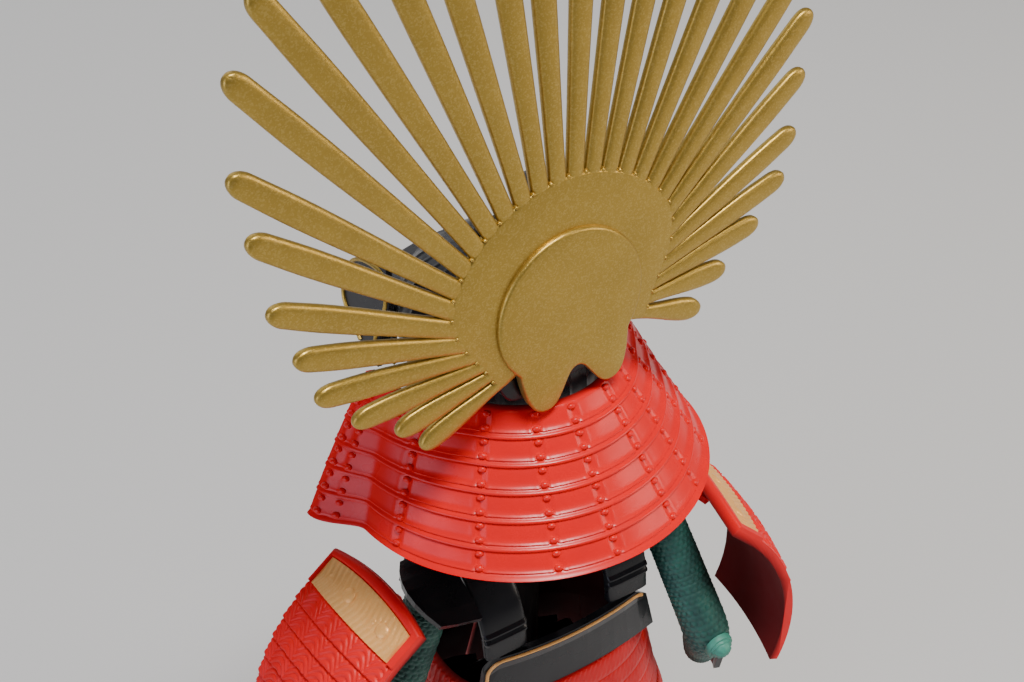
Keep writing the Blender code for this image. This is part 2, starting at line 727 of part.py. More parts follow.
def build_sode(side):
    """A shoulder guard: a crown board above laced rows, bowed across and hung at a slant."""
    sign = SIDES[side]
    out, rear, level = SODE_PLACE[side]
    rotation = (SODE_SWING[side], sign * SODE_TILT[side], sign * SODE_TOE)
    hang = add_empty("sode_seat_" + side, (sign * out, rear, level), rotation)

    out, level = sode_section()
    points = [(out[0], level[0], 0.0), (out[1], level[1], 0.0)]
    for row in range(SODE_ROWS):
        for share, proud in ((0.0, -SODE_STEP), (0.72, 0.0), (1.0, SODE_STEP * 0.5)):
            x = out[row + 1] + (out[row + 2] - out[row + 1]) * share
            z = level[row + 1] + (level[row + 2] - level[row + 1]) * share
            points.append((x, z, proud))
    points = np.array(points)[:, None, :]
    along = np.linspace(-1, 1, 5)[None, :]
    bow = SODE_BOW * (1 - along**2)
    x = points[..., 0] + (points[..., 2] + bow) * 0.8
    z = points[..., 1] + (points[..., 2] + bow) * 0.6
    arch = crown_arch(0.0, along)
    x[:1] -= arch * math.sin(SODE_CROWN_ANGLE)
    z[:1] += arch * math.cos(SODE_CROWN_ANGLE)
    y = along * SODE_WIDTH / 2 + 0 * x
    grid = np.stack([sign * x, y, z], axis=-1)
    if sign > 0:
        grid = grid[:, ::-1]
    add_shell("sode_" + side, grid, SODE_WALL, "red", hang)
    build_crown_plate(side, hang)
    build_toggle(side, hang)


def build_crown_plate(side, hang):
    """The gilt panel on the crown board, with two bosses."""
    sign = SIDES[side]
    height = SODE_CROWN_HEIGHT - 2 * CROWN_PLATE_MARGIN
    width = SODE_WIDTH - 2 * CROWN_PLATE_MARGIN
    out = np.array([0.0, 1.0])[:, None] * height + CROWN_PLATE_MARGIN
    along = np.linspace(-1, 1, 5)[None, :]
    bow = SODE_BOW * (1 - (along * width / SODE_WIDTH) ** 2)
    out = out - crown_arch(out, along)
    sine, cosine = math.sin(SODE_CROWN_ANGLE), math.cos(SODE_CROWN_ANGLE)
    stand = SEAT + CROWN_PLATE_THICKNESS
    x = out * sine + bow * 0.8 + stand * cosine
    z = -out * cosine + bow * 0.6 + stand * sine
    y = along * width / 2 + 0 * x
    grid = np.stack([sign * x, y, z + 0 * x], axis=-1)
    if sign > 0:
        grid = grid[:, ::-1]
    plate = add_shell("crown_plate_" + side, grid, CROWN_PLATE_THICKNESS, "gold", hang)
    middle = SODE_CROWN_HEIGHT / 2
    for number, share in enumerate((-0.2, 0.2)):
        lift = stand - CROWN_PLATE_THICKNESS / 2 + SODE_BOW * 0.9
        boss = bpy.data.meshes.new("crown_boss")
        body = bmesh.new()
        bmesh.ops.create_uvsphere(body, u_segments=8, v_segments=6, radius=CROWN_BOSS_RADIUS)
        squash = Matrix.Diagonal((1, 1, 0.55, 1))
        tilt = Matrix.Rotation(sign * (math.pi / 2 - SODE_CROWN_ANGLE), 4, "Y")
        spot = Matrix.Translation((
            sign * (middle * sine + lift * cosine), share * SODE_WIDTH, -middle * cosine + lift * sine))
        bmesh.ops.transform(body, matrix=spot @ tilt @ squash, verts=body.verts)
        body.to_mesh(boss)
        body.free()
        union(plate, add_object("boss_%s_%d" % (side, number), boss, None, hang))


def build_toggle(side, hang):
    """The short cord and knot that ties the shoulder guard to the shoulder's wing."""
    sign = SIDES[side]
    down = np.array([math.sin(SODE_CROWN_ANGLE), -math.cos(SODE_CROWN_ANGLE)])
    outward = np.array([-down[1], down[0]])
    behind = SODE_WALL + SEAT + TOGGLE_RADIUS
    inner = TOGGLE_DROP * down + SODE_BOW * np.array([0.8, 0.6]) - behind * outward
    place = Matrix.LocRotScale(hang.location, hang.rotation_euler, None)
    end = place @ Vector((sign * inner[0], 0, inner[1]))
    start_x = sign * (STRAP_OFFSET + STRAP_WIDTH / 2 + SEAT + WING_REACH + SEAT + TOGGLE_RADIUS)
    start = (start_x, SLEEVE_TOP_Y, wing_level(1, 0) - WING_THICKNESS / 2)
    radii = np.interp(np.linspace(0, 3, 7), [0, 1, 2, 3], TOGGLE_RADIUS * np.array([1, 1.5, 1, 1]))
    middle = (Vector(start) + end) / 2 - Vector((0, 0, TOGGLE_RADIUS))
    path = smooth_path([start, tuple(middle), tuple(end)], 7)
    return add_tube("sode_cord_" + side, path, radii, "red", sides=1)


def build_sleeve(side):
    """A mail sleeve that hangs under the shoulder, bent at the elbow, with its guards."""
    sign = SIDES[side]
    out = (SLEEVE_TOP_X - STRAP_OFFSET - STRAP_WIDTH / 2 - SEAT) / WING_REACH
    top = wing_level(out, 0) - WING_THICKNESS - 2 * SEAT
    elbow = np.array([sign * ELBOW_X[side], ELBOW_Y[side], ELBOW_LEVEL])
    wrist = np.array([sign * WRIST_X, WRIST_Y[side], WRIST_LEVEL])
    shoulder = np.array([sign * SLEEVE_TOP_X, SLEEVE_TOP_Y, top])
    below = shoulder - np.array([0, 0, 0.003])
    path = smooth_path([shoulder, below, (below + elbow) / 2, elbow, (elbow + wrist) / 2, wrist], 14)
    share = np.linspace(0, 1, 14)
    widths = [SLEEVE_RADIUS * 0.8, SLEEVE_RADIUS, ELBOW_RADIUS, WRIST_RADIUS]
    radii = np.interp(share, [0, 0.15, 0.6, 1], widths)
    add_tube("sleeve_" + side, path, radii, "green", sides=2)

    boss = bpy.data.meshes.new("elbow_boss_" + side)
    body = bmesh.new()
    bmesh.ops.create_uvsphere(body, u_segments=10, v_segments=6, radius=BOSS_RADIUS)
    bmesh.ops.bisect_plane(
        body, geom=body.verts[:] + body.edges[:] + body.faces[:], dist=0.00001,
        plane_co=(0, -0.15 * BOSS_RADIUS, 0), plane_no=(0, -1, 0), clear_outer=True)
    bmesh.ops.holes_fill(body, edges=body.edges)
    body.to_mesh(boss)
    body.free()
    boss.shade_smooth()
    boss.set_sharp_from_angle(angle=math.radians(50))
    guard = add_object("elbow_boss_" + side, boss, "green")
    reach = ELBOW_RADIUS + SEAT + 0.15 * BOSS_RADIUS
    guard.location = elbow + np.array([0, reach, 0])

    down = np.linspace(0, 1, 3)[:, None]
    along = np.linspace(-1, 1, 5)[None, :]
    outer = WRIST_X + WRIST_RADIUS + SEAT + HAND_THICKNESS
    x = sign * (outer - HAND_BOW * along**2)
    y = WRIST_Y[side] + HAND_WIDTH / 2 * along * (1 - 0.35 * down)
    z = WRIST_LEVEL + 0.2 * HAND_LENGTH - HAND_LENGTH * down
    grid = np.stack([x + 0 * down, y, z + 0 * y], axis=-1)
    if sign > 0:
        grid = grid[:, ::-1]
    add_shell("hand_guard_" + side, grid, HAND_THICKNESS, "black")


def build_skirt():
    """Panels of laced rows hung round the waist, numbered from the rear middle to the left."""
    down, proud = row_profile(SKIRT_ROWS, SKIRT_STEP * 0.8, SKIRT_STEP)
    levels = WAIST_LEVEL - SEAT - SKIRT_LENGTH * down
    width = CUIRASS_WAIST_HALF_WIDTH + CUIRASS_STEP + SKIRT_FLARE_WIDTH * down + proud
    depth = CUIRASS_WAIST_HALF_DEPTH + CUIRASS_STEP + SKIRT_FLARE_DEPTH * down + proud
    pitch = 2 * math.pi / SKIRT_PANELS
    for number in range(SKIRT_PANELS):
        middle = number * pitch
        half = (pitch - SKIRT_GAP) / 2
        angle = middle + np.linspace(-half, half, 4)
        grid = body_grid(angle, levels, width, depth, 0.0)
        add_shell("skirt_panel_%d" % (number + 1), grid, SKIRT_WALL, "red")


def build_leg_guards():
    """Thigh guards that hang before the chest, and shin guards that stand below them."""
    lid_front = -CHEST_DEPTH / 2 - LID_OVERHANG - SEAT
    lid_top = CHEST_HEIGHT + LID_HEIGHT
    for side, sign in SIDES.items():
        down = np.linspace(0, 1, 4)[:, None]
        along = np.linspace(-1, 1, 5)[None, :]
        x = sign * LEG_SPACING - THIGH_WIDTH / 2 * along * (1 - THIGH_TAPER * down)
        y = lid_front - SHIN_WALL - THIGH_BOW * (1 - along**2) + 0 * down
        z = lid_top - 2 * SEAT - THIGH_LENGTH * down
        grid = np.stack([x, y, z + 0 * y], axis=-1)
        add_shell("thigh_guard_" + side, grid, SHIN_WALL, "black")

        bend = np.linspace(-math.pi / 2, math.pi / 2, 8)[None, :]
        radius = SHIN_RADIUS * (0.78 + 0.3 * down)
        height = SHIN_HEIGHT * down
        x = sign * LEG_SPACING + radius * np.sin(bend)
        y = -CHEST_DEPTH / 2 - SEAT - radius * np.cos(bend) * 1.2
        grid = np.stack([x, y, height + 0 * x], axis=-1)
        add_shell("shin_guard_" + side, grid, SHIN_WALL, "black")


def build_stand():
    """Post, shoulder bar and the egg shaped block that the helmet and mask sit on."""
    lid_top = CHEST_HEIGHT + LID_HEIGHT
    block_top = CREST_LEVEL - BOWL_RIM_DROP + BOWL_HEIGHT - BOWL_WALL - SEAT
    block_middle = block_top - BLOCK_HEIGHT / 2
    bar_level = SHOULDER_LEVEL - STRAP_THICKNESS - SEAT - BAR_RADIUS - 0.0001
    ends = [(0, 0, lid_top + SEAT), (0, 0, bar_level - BAR_RADIUS - SEAT)]
    add_tube("stand_post", ends, [POST_RADIUS, POST_RADIUS], "wood")
    bar_half = STRAP_OFFSET + STRAP_WIDTH / 2
    bar_y = 0.1 * (BAND_HALF_DEPTH - 0.0008)
    ends = [(-bar_half, bar_y, bar_level), (bar_half, bar_y, bar_level)]
    add_tube("shoulder_bar", ends, [BAR_RADIUS, BAR_RADIUS], "wood")
    ends = [(0, 0, bar_level + BAR_RADIUS + SEAT), (0, 0, block_middle - 0.42 * BLOCK_HEIGHT)]
    block = bpy.data.meshes.new("head_block")
    body = bmesh.new()
    bmesh.ops.create_uvsphere(body, u_segments=12, v_segments=7, radius=0.5)
    scale = Matrix.Diagonal((BLOCK_WIDTH, BLOCK_DEPTH, BLOCK_HEIGHT, 1))
    turn = Matrix.Rotation(HEAD_TURN, 4, "Z")
    offset = Vector((HEAD_SHIFT, 0, block_middle)) + turn @ Vector((0, -BOWL_FORWARD, 0))
    bmesh.ops.transform(body, matrix=Matrix.Translation(offset) @ turn @ scale, verts=body.verts)
    body.to_mesh(block)
    body.free()
    block.shade_smooth()
    head_block = add_object("head_block", block, "wood")
    neck = bpy.data.meshes.new("neck")
    body = bmesh.new()
    length = ends[1][2] - ends[0][2]
    bmesh.ops.create_cone(
        body, cap_ends=True, segments=12, radius1=POST_RADIUS, radius2=POST_RADIUS, depth=length)
    body.to_mesh(neck)
    body.free()
    neck_piece = add_object("neck", neck, None)
    neck_piece.location = (0, 0, (ends[0][2] + ends[1][2]) / 2)
    union(head_block, neck_piece)


def add_box(name, size, level, edge, finish):
    """A box standing on a level, with rounded edges."""
    mesh = bpy.data.meshes.new(name)
    body = bmesh.new()
    bmesh.ops.create_cube(body, size=1)
    place = Matrix.Translation((0, 0, level + size[2] / 2))
    bmesh.ops.transform(body, matrix=place @ Matrix.Diagonal((*size, 1)), verts=body.verts)
    body.to_mesh(mesh)
    body.free()
    box = add_object(name, mesh, finish)
    bevel = box.modifiers.new("edges", "BEVEL")
    bevel.width = edge
    bevel.segments = 1
    return box


def build_chest():
    """The storage chest that the armor sits on, and its lid."""
    add_box("chest", (CHEST_WIDTH, CHEST_DEPTH, CHEST_HEIGHT - SEAT), 0, CHEST_EDGE, "black")
    lid = (CHEST_WIDTH + 2 * LID_OVERHANG, CHEST_DEPTH + 2 * LID_OVERHANG, LID_HEIGHT)
    add_box("chest_lid", lid, CHEST_HEIGHT, CHEST_EDGE, "black")


clear_scene()
ARMOR = make_collection("samurai_armor")
CUTTERS = make_collection("cutters")
MATERIALS = {name: make_material(name) for name in COLOURS}
build_chest()
build_stand()
build_head()
build_cuirass_half("cuirass_back", 0.0, SEAT / 2)
build_cuirass_half("cuirass_front", math.pi, -SEAT / 2)
build_band("back_band", 1)
build_band("front_band", -1)
for side_name in SIDES:
    build_strap(side_name)
    build_wing(side_name)
    build_sode(side_name)
    build_sleeve(side_name)
build_skirt()
build_leg_guards()
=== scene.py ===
"""Looks of the miniature samurai armor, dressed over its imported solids.

The figure faces -Y and its left side is +X, in metres. Detailed surfaces stand for the
crest, the laced parts, the helmet, the straps and the sleeves. The other solids stay and
take a finish. Each surface is a function of two parameters, worked out as whole arrays.
"""
import math

import bmesh
import bpy
import numpy as np
from bpy.props import FloatProperty, FloatVectorProperty, IntProperty, PointerProperty
from mathutils import Euler, Matrix, Vector


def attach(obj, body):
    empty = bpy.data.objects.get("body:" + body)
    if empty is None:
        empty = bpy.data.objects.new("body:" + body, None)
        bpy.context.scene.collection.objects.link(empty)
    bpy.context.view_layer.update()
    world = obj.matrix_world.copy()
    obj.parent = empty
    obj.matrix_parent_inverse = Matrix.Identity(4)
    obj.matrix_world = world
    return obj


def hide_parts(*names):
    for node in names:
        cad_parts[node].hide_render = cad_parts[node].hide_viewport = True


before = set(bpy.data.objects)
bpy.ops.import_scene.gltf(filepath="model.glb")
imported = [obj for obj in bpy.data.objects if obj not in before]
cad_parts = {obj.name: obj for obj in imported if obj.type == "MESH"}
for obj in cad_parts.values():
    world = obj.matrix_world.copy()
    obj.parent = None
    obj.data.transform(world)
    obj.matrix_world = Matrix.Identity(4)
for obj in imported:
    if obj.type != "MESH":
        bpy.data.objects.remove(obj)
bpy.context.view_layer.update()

bl_info = {
    "name": "Miniature Samurai Armor",
    "version": (1, 0, 0),
    "blender": (4, 5, 0),
    "location": "View3D > Sidebar > Armor",
    "description": "Dresses the packed armor with laced, gilt and lacquered surfaces",
    "category": "Object",
}

MM = 0.001
SEAT = 0.3
SIDES = {"left": 1, "right": -1}

# Places and sizes of the solids, in millimetres, as the part's source has them
HEAD_LEVEL = 117.0
HEAD_TURN = math.radians(5)
HEAD_SHIFT = 1.0
CREST_SETBACK = 8.3
CREST_LEAN = math.radians(9)
CREST_RELIEF = 0.45
CREST_THICKNESS = 1.0
CREST_HALF_SIZE = (27.0, 27.2)
CREST_MIDDLE = 18.2
RAY_FOCUS = -3.8
RAY_HALF_WIDTH = 1.17
RAY_WIDEST = 0.72
PLATE_REACH = 12.5
BOWL_RADII = (9.4, 11.1, 10.5)
BOWL_FORWARD = 3.0
BOWL_RIM = -11.5
GUARD_ANGLES = (math.radians(115), math.radians(104), math.radians(-4))
GUARD_TILT = (math.radians(8), math.radians(-4.5), 0)
GUARD_RIM_REACH = 18.3
GUARD_FLARES = (2.9, 3.6)
GUARD_LEVELS = (-0.1, -12.5)
WALL = 0.9
CUIRASS_SQUARENESS = 2.6
CUIRASS_TOP = (12.6, 11.0)
CUIRASS_BOTTOM = (16.2, 12.3)
CUIRASS_LEVELS = (63.2, 46.0)
SKIRT_TOP = (16.5, 12.6)
SKIRT_BOTTOM = (20.5, 17.2)
SKIRT_LEVELS = (45.7, 27.2)
SKIRT_PANELS = 7
BAND_TOP = 71.0
BAND_HALF_WIDTH = 10.2
BAND_HEIGHT = 7.5
SODE_ANGLES = (math.radians(60), math.radians(55), math.radians(-5))
SODE_LENGTHS = (4.2, 21.5)
SODE_SIZE = 13.9
SODE_BOW = 0.5
SODE_ARCH = 1.3
SODE_PLACE = {
    "left": ((19.4, 4.8, 84.6), (0.0, 0.0, math.radians(11))),
    "right": ((-18.1, 7.8, 81.3), (math.radians(7.5), -math.radians(16), -math.radians(11))),
}


# ---- Settings that a user would change ----

class ArmorSizes(bpy.types.PropertyGroup):
    """Sizes of the fine detail, in millimetres where they are lengths."""
    ray_squareness: FloatProperty(
        name="Ray squareness", default=3.0, min=2, max=8,
        description="How flat the rays are across: 2 is an oval bar, 8 is nearly a flat strip")
    knot_width: FloatProperty(
        name="Knot width", default=0.84, min=0.2, max=1.2,
        description="Width of a lacing knot on the neck guard, in millimetres")
    knot_height: FloatProperty(
        name="Knot height", default=0.6, min=0.2, max=1.0,
        description="Height of a lacing knot along the row, in millimetres")
    braid_pitch: FloatProperty(
        name="Braid pitch", default=0.78, min=0.3, max=1.5,
        description="Distance between the slanting strands on the shoulder guards, in millimetres")
    lace_pitch: FloatProperty(
        name="Lace pitch", default=0.85, min=0.3, max=1.5,
        description="Distance between the upright laces on the cuirass, in millimetres")
    mail_links: IntProperty(
        name="Mail links", default=20, min=8, max=40,
        description="Links in one ring round a sleeve")
    bowl_ribs: IntProperty(
        name="Bowl ribs", default=28, min=8, max=62,
        description="Raised ribs round the helmet bowl")
    trim_width: FloatProperty(
        name="Trim width", default=0.4, min=0.2, max=1.0,
        description="Width of the gilt trim on the bands, in millimetres")


class ArmorColours(bpy.types.PropertyGroup):
    """Colours of the finishes."""
    gilt: FloatVectorProperty(
        name="Gilt", subtype="COLOR", size=3, min=0, max=1, default=(0.46, 0.3, 0.055),
        description="Gilt paint of the crest and the helmet's trim")
    gilt_light: FloatVectorProperty(
        name="Gilt flake", subtype="COLOR", size=3, min=0, max=1, default=(0.78, 0.58, 0.2),
        description="The lighter flakes in the gilt paint")
    red: FloatVectorProperty(
        name="Red lacquer", subtype="COLOR", size=3, min=0, max=1, default=(0.84, 0.005, 0.007),
        description="Red of the laced rows")
    red_deep: FloatVectorProperty(
        name="Deep red", subtype="COLOR", size=3, min=0, max=1, default=(0.36, 0.002, 0.008),
        description="The darker red that lies in the hollows")
    # Painted shade: a darker red for the inner faces of the laced pieces, in place of the shadow
    # inside them
    inner_shade: FloatVectorProperty(
        name="Painted inner shade", subtype="COLOR", size=3, min=0, max=1, default=(0.12, 0.002, 0.003),
        description="Dark red on the inner faces of the laced pieces")
    black: FloatVectorProperty(
        name="Black lacquer", subtype="COLOR", size=3, min=0, max=1, default=(0.008, 0.008, 0.010),
        description="Black of the helmet, bands and chest")
    green: FloatVectorProperty(
        name="Green mail", subtype="COLOR", size=3, min=0, max=1, default=(0.022, 0.12, 0.09),
        description="Green of the mail sleeves")
    wood: FloatVectorProperty(
        name="Wood", subtype="COLOR", size=3, min=0, max=1, default=(0.02, 0.011, 0.008),
        description="Stained wood of the stand")


class StageSettings(bpy.types.PropertyGroup):
    """The camera and the studio round the armor."""
    camera_place: FloatVectorProperty(
        name="Camera place", subtype="TRANSLATION", unit="LENGTH", size=3,
        default=(0.0508, 0.0865, 0.2062), description="Where the camera stands")
    camera_aim: FloatVectorProperty(
        name="Camera direction", subtype="DIRECTION", size=3, default=(-0.349, -0.614, -0.708),
        description="The way the camera looks")
    lens: FloatProperty(
        name="Lens", default=52.73, min=20, max=200, unit="CAMERA",
        description="Focal length, in millimetres")
    floor: FloatVectorProperty(
        name="Floor", subtype="COLOR", size=3, min=0, max=1, default=(0.70, 0.70, 0.69),
        description="Colour of the pale floor")


# ---- Arrays into meshes ----

def full_turn(count):
    """Even angles round a full turn, the last one left out."""
    return np.linspace(0, 2 * math.pi, count, endpoint=False)


def unit(vectors):
    return vectors / np.linalg.norm(vectors, axis=-1, keepdims=True)


def squared(wave, squareness):
    """A sine or cosine bent into a superellipse's: sign(w) |w|^(2 / squareness)."""
    return np.sign(wave) * np.abs(wave) ** (2 / squareness)


def path_length(path):
    """How far along a path each of its points lies."""
    return np.concatenate([[0], np.cumsum(np.linalg.norm(np.diff(path, axis=0), axis=1))])


def smooth_step(value):
    value = np.clip(value, 0, 1)
    return value * value * (3 - 2 * value)


def grid_faces(rows, columns, wrap_rows=False, wrap_columns=False):
    """Corner numbers of a grid's quads, joined end to end where it wraps."""
    index = np.arange(rows * columns).reshape(rows, columns)
    if wrap_rows:
        index = np.vstack([index, index[:1]])
    if wrap_columns:
        index = np.hstack([index, index[:, :1]])
    quads = np.stack([index[:-1, :-1], index[:-1, 1:], index[1:, 1:], index[1:, :-1]], -1)
    return quads.reshape(-1, 4).tolist()


def wall_part(outer, inner):
    """A closed wall: the outer grid, the inner grid reversed, and both ends filled.

    Each is rows by columns of points; they share columns, and may differ in rows. The
    third value marks the inner grid's points.
    """
    loop = np.concatenate([outer, inner[::-1]])
    rows, columns = loop.shape[:2]
    faces = grid_faces(rows, columns, wrap_rows=True)
    faces.append([row * columns for row in range(rows)])
    faces.append([row * columns + columns - 1 for row in reversed(range(rows))])
    inside = np.repeat(np.arange(rows) >= len(outer), columns).astype(float)
    return loop.reshape(-1, 3), faces, inside


def tube_faces(stations, around):
    """Faces of a tube's side and of both its ends."""
    faces = grid_faces(stations, around, wrap_columns=True)
    faces.append(list(reversed(range(around))))
    faces.append([(stations - 1) * around + number for number in range(around)])
    return faces


def tube_part(rings):
    """A closed tube: stations by points round, wrapped round and filled at both ends."""
    return rings.reshape(-1, 3), tube_faces(*rings.shape[:2])


def plate_part(angle, reach, back, front, roll):
    """A flat plate whose outline is a reach at each angle, with rolled edges.

    The section runs from the back's middle out to the rim, round two quarter circles of
    radius roll and in again over the front. X = r sin a, Z = r cos a, and Y is the height.
    """
    turn = np.linspace(0, math.pi / 2, 5)
    inset = np.concatenate([[1, 1, 1, 1], 1 - np.sin(turn[1:]), 1 - np.cos(turn[1:]), [1, 1]])
    share = np.concatenate([[0, 0.35, 0.7, 1], np.ones(8), [1, 0]])
    high = np.concatenate([
        np.full(4, back), back - roll * (1 - np.cos(turn[1:])),
        front + roll * (1 - np.sin(turn[1:])), [front, front]])
    r = share[:, None] * (reach[None, :] - roll * inset[:, None])
    points = np.stack([r * np.sin(angle), high[:, None] + 0 * r, r * np.cos(angle)], -1)
    return points.reshape(-1, 3), grid_faces(*points.shape[:2], wrap_columns=True)


def knob_grid(rings=4, around=8, squareness=3.0):
    """A unit knob: the upper half of a superellipsoid, closed below, as grid points."""
    rise = np.linspace(0, math.pi / 2, rings)[:, None]
    turn = full_turn(around)[None, :]
    level = squared(np.sin(rise), squareness) + 0 * turn
    flat = squared(np.cos(rise), squareness)
    x = flat * squared(np.cos(turn), squareness)
    y = flat * squared(np.sin(turn), squareness)
    skirt = np.stack([x[:1], y[:1], level[:1] - 0.6], -1)
    return np.concatenate([skirt, np.stack([x, y, level], -1)])


def scatter_part(knob, centres, frames):
    """Copies of a unit knob: each point is centre + frame @ point, for all at once."""
    rings, around = knob.shape[:2]
    points = np.einsum("kij,nj->kni", frames, knob.reshape(-1, 3)) + centres[:, None, :]
    faces = [[corner + copy * rings * around for corner in face]
             for copy in range(len(centres)) for face in tube_faces(rings, around)]
    return points.reshape(-1, 3), faces


def surface_frames(surface, u, v, step=1e-3):
    """Centres and frames on a surface: unit tangents along u and v, and their normal."""
    centre = surface(u, v)
    along = unit(surface(u + step, v) - centre)
    normal = unit(np.cross(along, surface(u, v + step) - centre))
    return centre, np.stack([along, np.cross(normal, along), normal], -1)


def round_tube(path, radius, around=8, guide=(0.31, 0.17, 0.93)):
    """A closed tube round a path. Its radius may differ at every station and angle.

    Each ring is radius (cos a s + sin a t), with s square to the path and the guide, and t
    square to both.
    """
    tangent = unit(np.gradient(path, axis=0))
    side = unit(np.cross(tangent, guide))
    other = np.cross(tangent, side)
    turn = full_turn(around)[None, :, None]
    ring = np.cos(turn) * side[:, None] + np.sin(turn) * other[:, None]
    return tube_part(path[:, None] + np.broadcast_to(radius, ring.shape[:2])[..., None] * ring)


def smooth_path(stations, count):
    """Points along a Catmull-Rom curve through the stations, evenly in its parameter."""
    stations = np.array(stations, float)
    ends = np.vstack([2 * stations[0] - stations[1], stations, 2 * stations[-1] - stations[-2]])
    value = np.linspace(0, len(stations) - 1, count)
    span = np.minimum(value.astype(int), len(stations) - 2)
    t = (value - span)[:, None]
    a, b, c, d = (ends[span + number] for number in range(4))
    cubic = 2 * b + (c - a) * t + (2 * a - 5 * b + 4 * c - d) * t**2
    return 0.5 * (cubic + (3 * b - a - 3 * c + d) * t**3)


def add_piece(name, parts, finish, replaces=(), sharp=38):
    """One visible piece from parts in millimetres, with doubles merged and faces outward."""
    points, faces, inside, start = [], [], [], 0
    for part_points, part_faces, *marks in parts:
        points.append(part_points)
        inside.append(marks[0] if marks else np.zeros(len(part_points)))
        faces += [[corner + start for corner in face] for face in part_faces]
        start += len(part_points)
    mesh = bpy.data.meshes.new(name)
    mesh.from_pydata((np.concatenate(points) * MM).tolist(), [], faces)
    marked = mesh.attributes.new("inside", "FLOAT", "POINT")
    marked.data.foreach_set("value", np.concatenate(inside))
    body = bmesh.new()
    body.from_mesh(mesh)
    bmesh.ops.remove_doubles(body, verts=body.verts, dist=1e-7)
    bmesh.ops.recalc_face_normals(body, faces=body.faces)
    body.to_mesh(mesh)
    body.free()
    mesh.shade_smooth()
    mesh.set_sharp_from_angle(angle=math.radians(sharp))
    mesh.materials.append(FINISHES[finish])
    piece = bpy.data.objects.new(name, mesh)
    bpy.context.scene.collection.objects.link(piece)
    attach(piece, "root")
    if replaces:
        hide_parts(*replaces)


def turned(parts, place):
    """The parts moved by a 4 by 4 place whose lengths are in millimetres."""
    turn = np.array(place)
    return [(points @ turn[:3, :3].T + turn[:3, 3], *rest) for points, *rest in parts]


HEAD = Matrix.Translation((HEAD_SHIFT, 0, HEAD_LEVEL)) @ Matrix.Rotation(HEAD_TURN, 4, "Z")
CREST = HEAD @ Matrix.Translation((0, CREST_SETBACK, 0)) @ Matrix.Rotation(CREST_LEAN, 4, "X")
GUARD = HEAD @ Matrix.LocRotScale(
    Vector((0, 0, BOWL_RIM)), Euler(GUARD_TILT), None)


# ---- Finishes ----

def make_group(name, inputs, outputs):
    """An empty shader group with float inputs (with defaults) and named outputs."""
    group = bpy.data.node_groups.new(name, "ShaderNodeTree")
    group.interface.new_socket("Vector", in_out="INPUT", socket_type="NodeSocketVector")
    for label, default in inputs.items():
        socket = group.interface.new_socket(label, in_out="INPUT", socket_type="NodeSocketFloat")
        socket.default_value = default
    for label in outputs:
        group.interface.new_socket(label, in_out="OUTPUT", socket_type="NodeSocketFloat")
    source = group.nodes.new("NodeGroupInput")
    target = group.nodes.new("NodeGroupOutput")
    return group, source, target


def add_node(tree, kind, settings=None, **links):
    """A node with its settings, whose named inputs take a socket or a value."""
    node = tree.nodes.new(kind)
    for label, value in (settings or {}).items():
        setattr(node, label, value)
    for label, value in links.items():
        key = int(label[1:]) if label[0] == "_" else label.replace("_", " ")
        socket = node.inputs[key]
        if isinstance(value, bpy.types.NodeSocket):
            tree.links.new(value, socket)
        else:
            socket.default_value = value
    return node


def make_mottle_group():
    """Soft cloudy variation: two octaves of noise, spread to 0..1, and a fine height."""
    group, source, target = make_group(
        "mottle", {"Scale": 120.0, "Fine Scale": 900.0}, ["Mask", "Height"])
    labels = ("Vector", "Scale", "Fine Scale")
    vector, scale, fine_scale = (source.outputs[label] for label in labels)
    broad = add_node(group, "ShaderNodeTexNoise", Vector=vector, Scale=scale, Detail=3.0)
    fine = add_node(group, "ShaderNodeTexNoise", Vector=vector, Scale=fine_scale, Detail=2.0)
    spread = add_node(group, "ShaderNodeMapRange", _0=broad.outputs[0], _1=0.3, _2=0.7)
    group.links.new(spread.outputs[0], target.inputs["Mask"])
    group.links.new(fine.outputs[0], target.inputs["Height"])
    return group


def make_flake_group():
    """Metal flake: small cells, each with its own brightness, and their uneven height."""
    group, source, target = make_group("flake", {"Scale": 9000.0}, ["Mask", "Height"])
    vector, scale = source.outputs["Vector"], source.outputs["Scale"]
    cells = add_node(group, "ShaderNodeTexVoronoi", Vector=vector, Scale=scale)
    grey = add_node(group, "ShaderNodeSeparateColor", Color=cells.outputs["Color"])
    bright = add_node(group, "ShaderNodeMapRange", _0=grey.outputs[0], _1=0.55, _2=1.0)
    group.links.new(bright.outputs[0], target.inputs["Mask"])
    group.links.new(grey.outputs[1], target.inputs["Height"])
    return group


def new_finish(name, colour, **values):
    """A material with its Principled shader's own sockets set, and Object coordinates."""
    material = bpy.data.materials.new(name)
    material.use_nodes = True
    tree = material.node_tree
    shader = tree.nodes["Principled BSDF"]
    shader.inputs["Base Color"].default_value = (*colour, 1)
    for label, value in values.items():
        shader.inputs[label.replace("_", " ")].default_value = value
    place = tree.nodes.new("ShaderNodeTexCoord").outputs["Object"]
    FINISHES[name] = material
    return tree, shader, place


def use_group(tree, group, place, **values):
    return add_node(tree, "ShaderNodeGroup", {"node_tree": group}, Vector=place, **values)


def blend_colour(tree, mask, first, second, shader):
    """Base Color runs from the first colour to the second by a mask."""
    start = first if isinstance(first, bpy.types.NodeSocket) else (*first, 1)
    mix = add_node(
        tree, "ShaderNodeMix", {"data_type": "RGBA"}, _0=mask, _6=start, _7=(*second, 1))
    tree.links.new(mix.outputs[2], shader.inputs["Base Color"])
    return mix.outputs[2]


def vary_roughness(tree, mask, low, high, shader):
    spread = add_node(tree, "ShaderNodeMapRange", _0=mask, _3=low, _4=high)
    tree.links.new(spread.outputs[0], shader.inputs["Roughness"])


def bump(tree, height, strength, distance, shader):
    node = add_node(tree, "ShaderNodeBump", Height=height, Strength=strength, Distance=distance)
    tree.links.new(node.outputs[0], shader.inputs["Normal"])


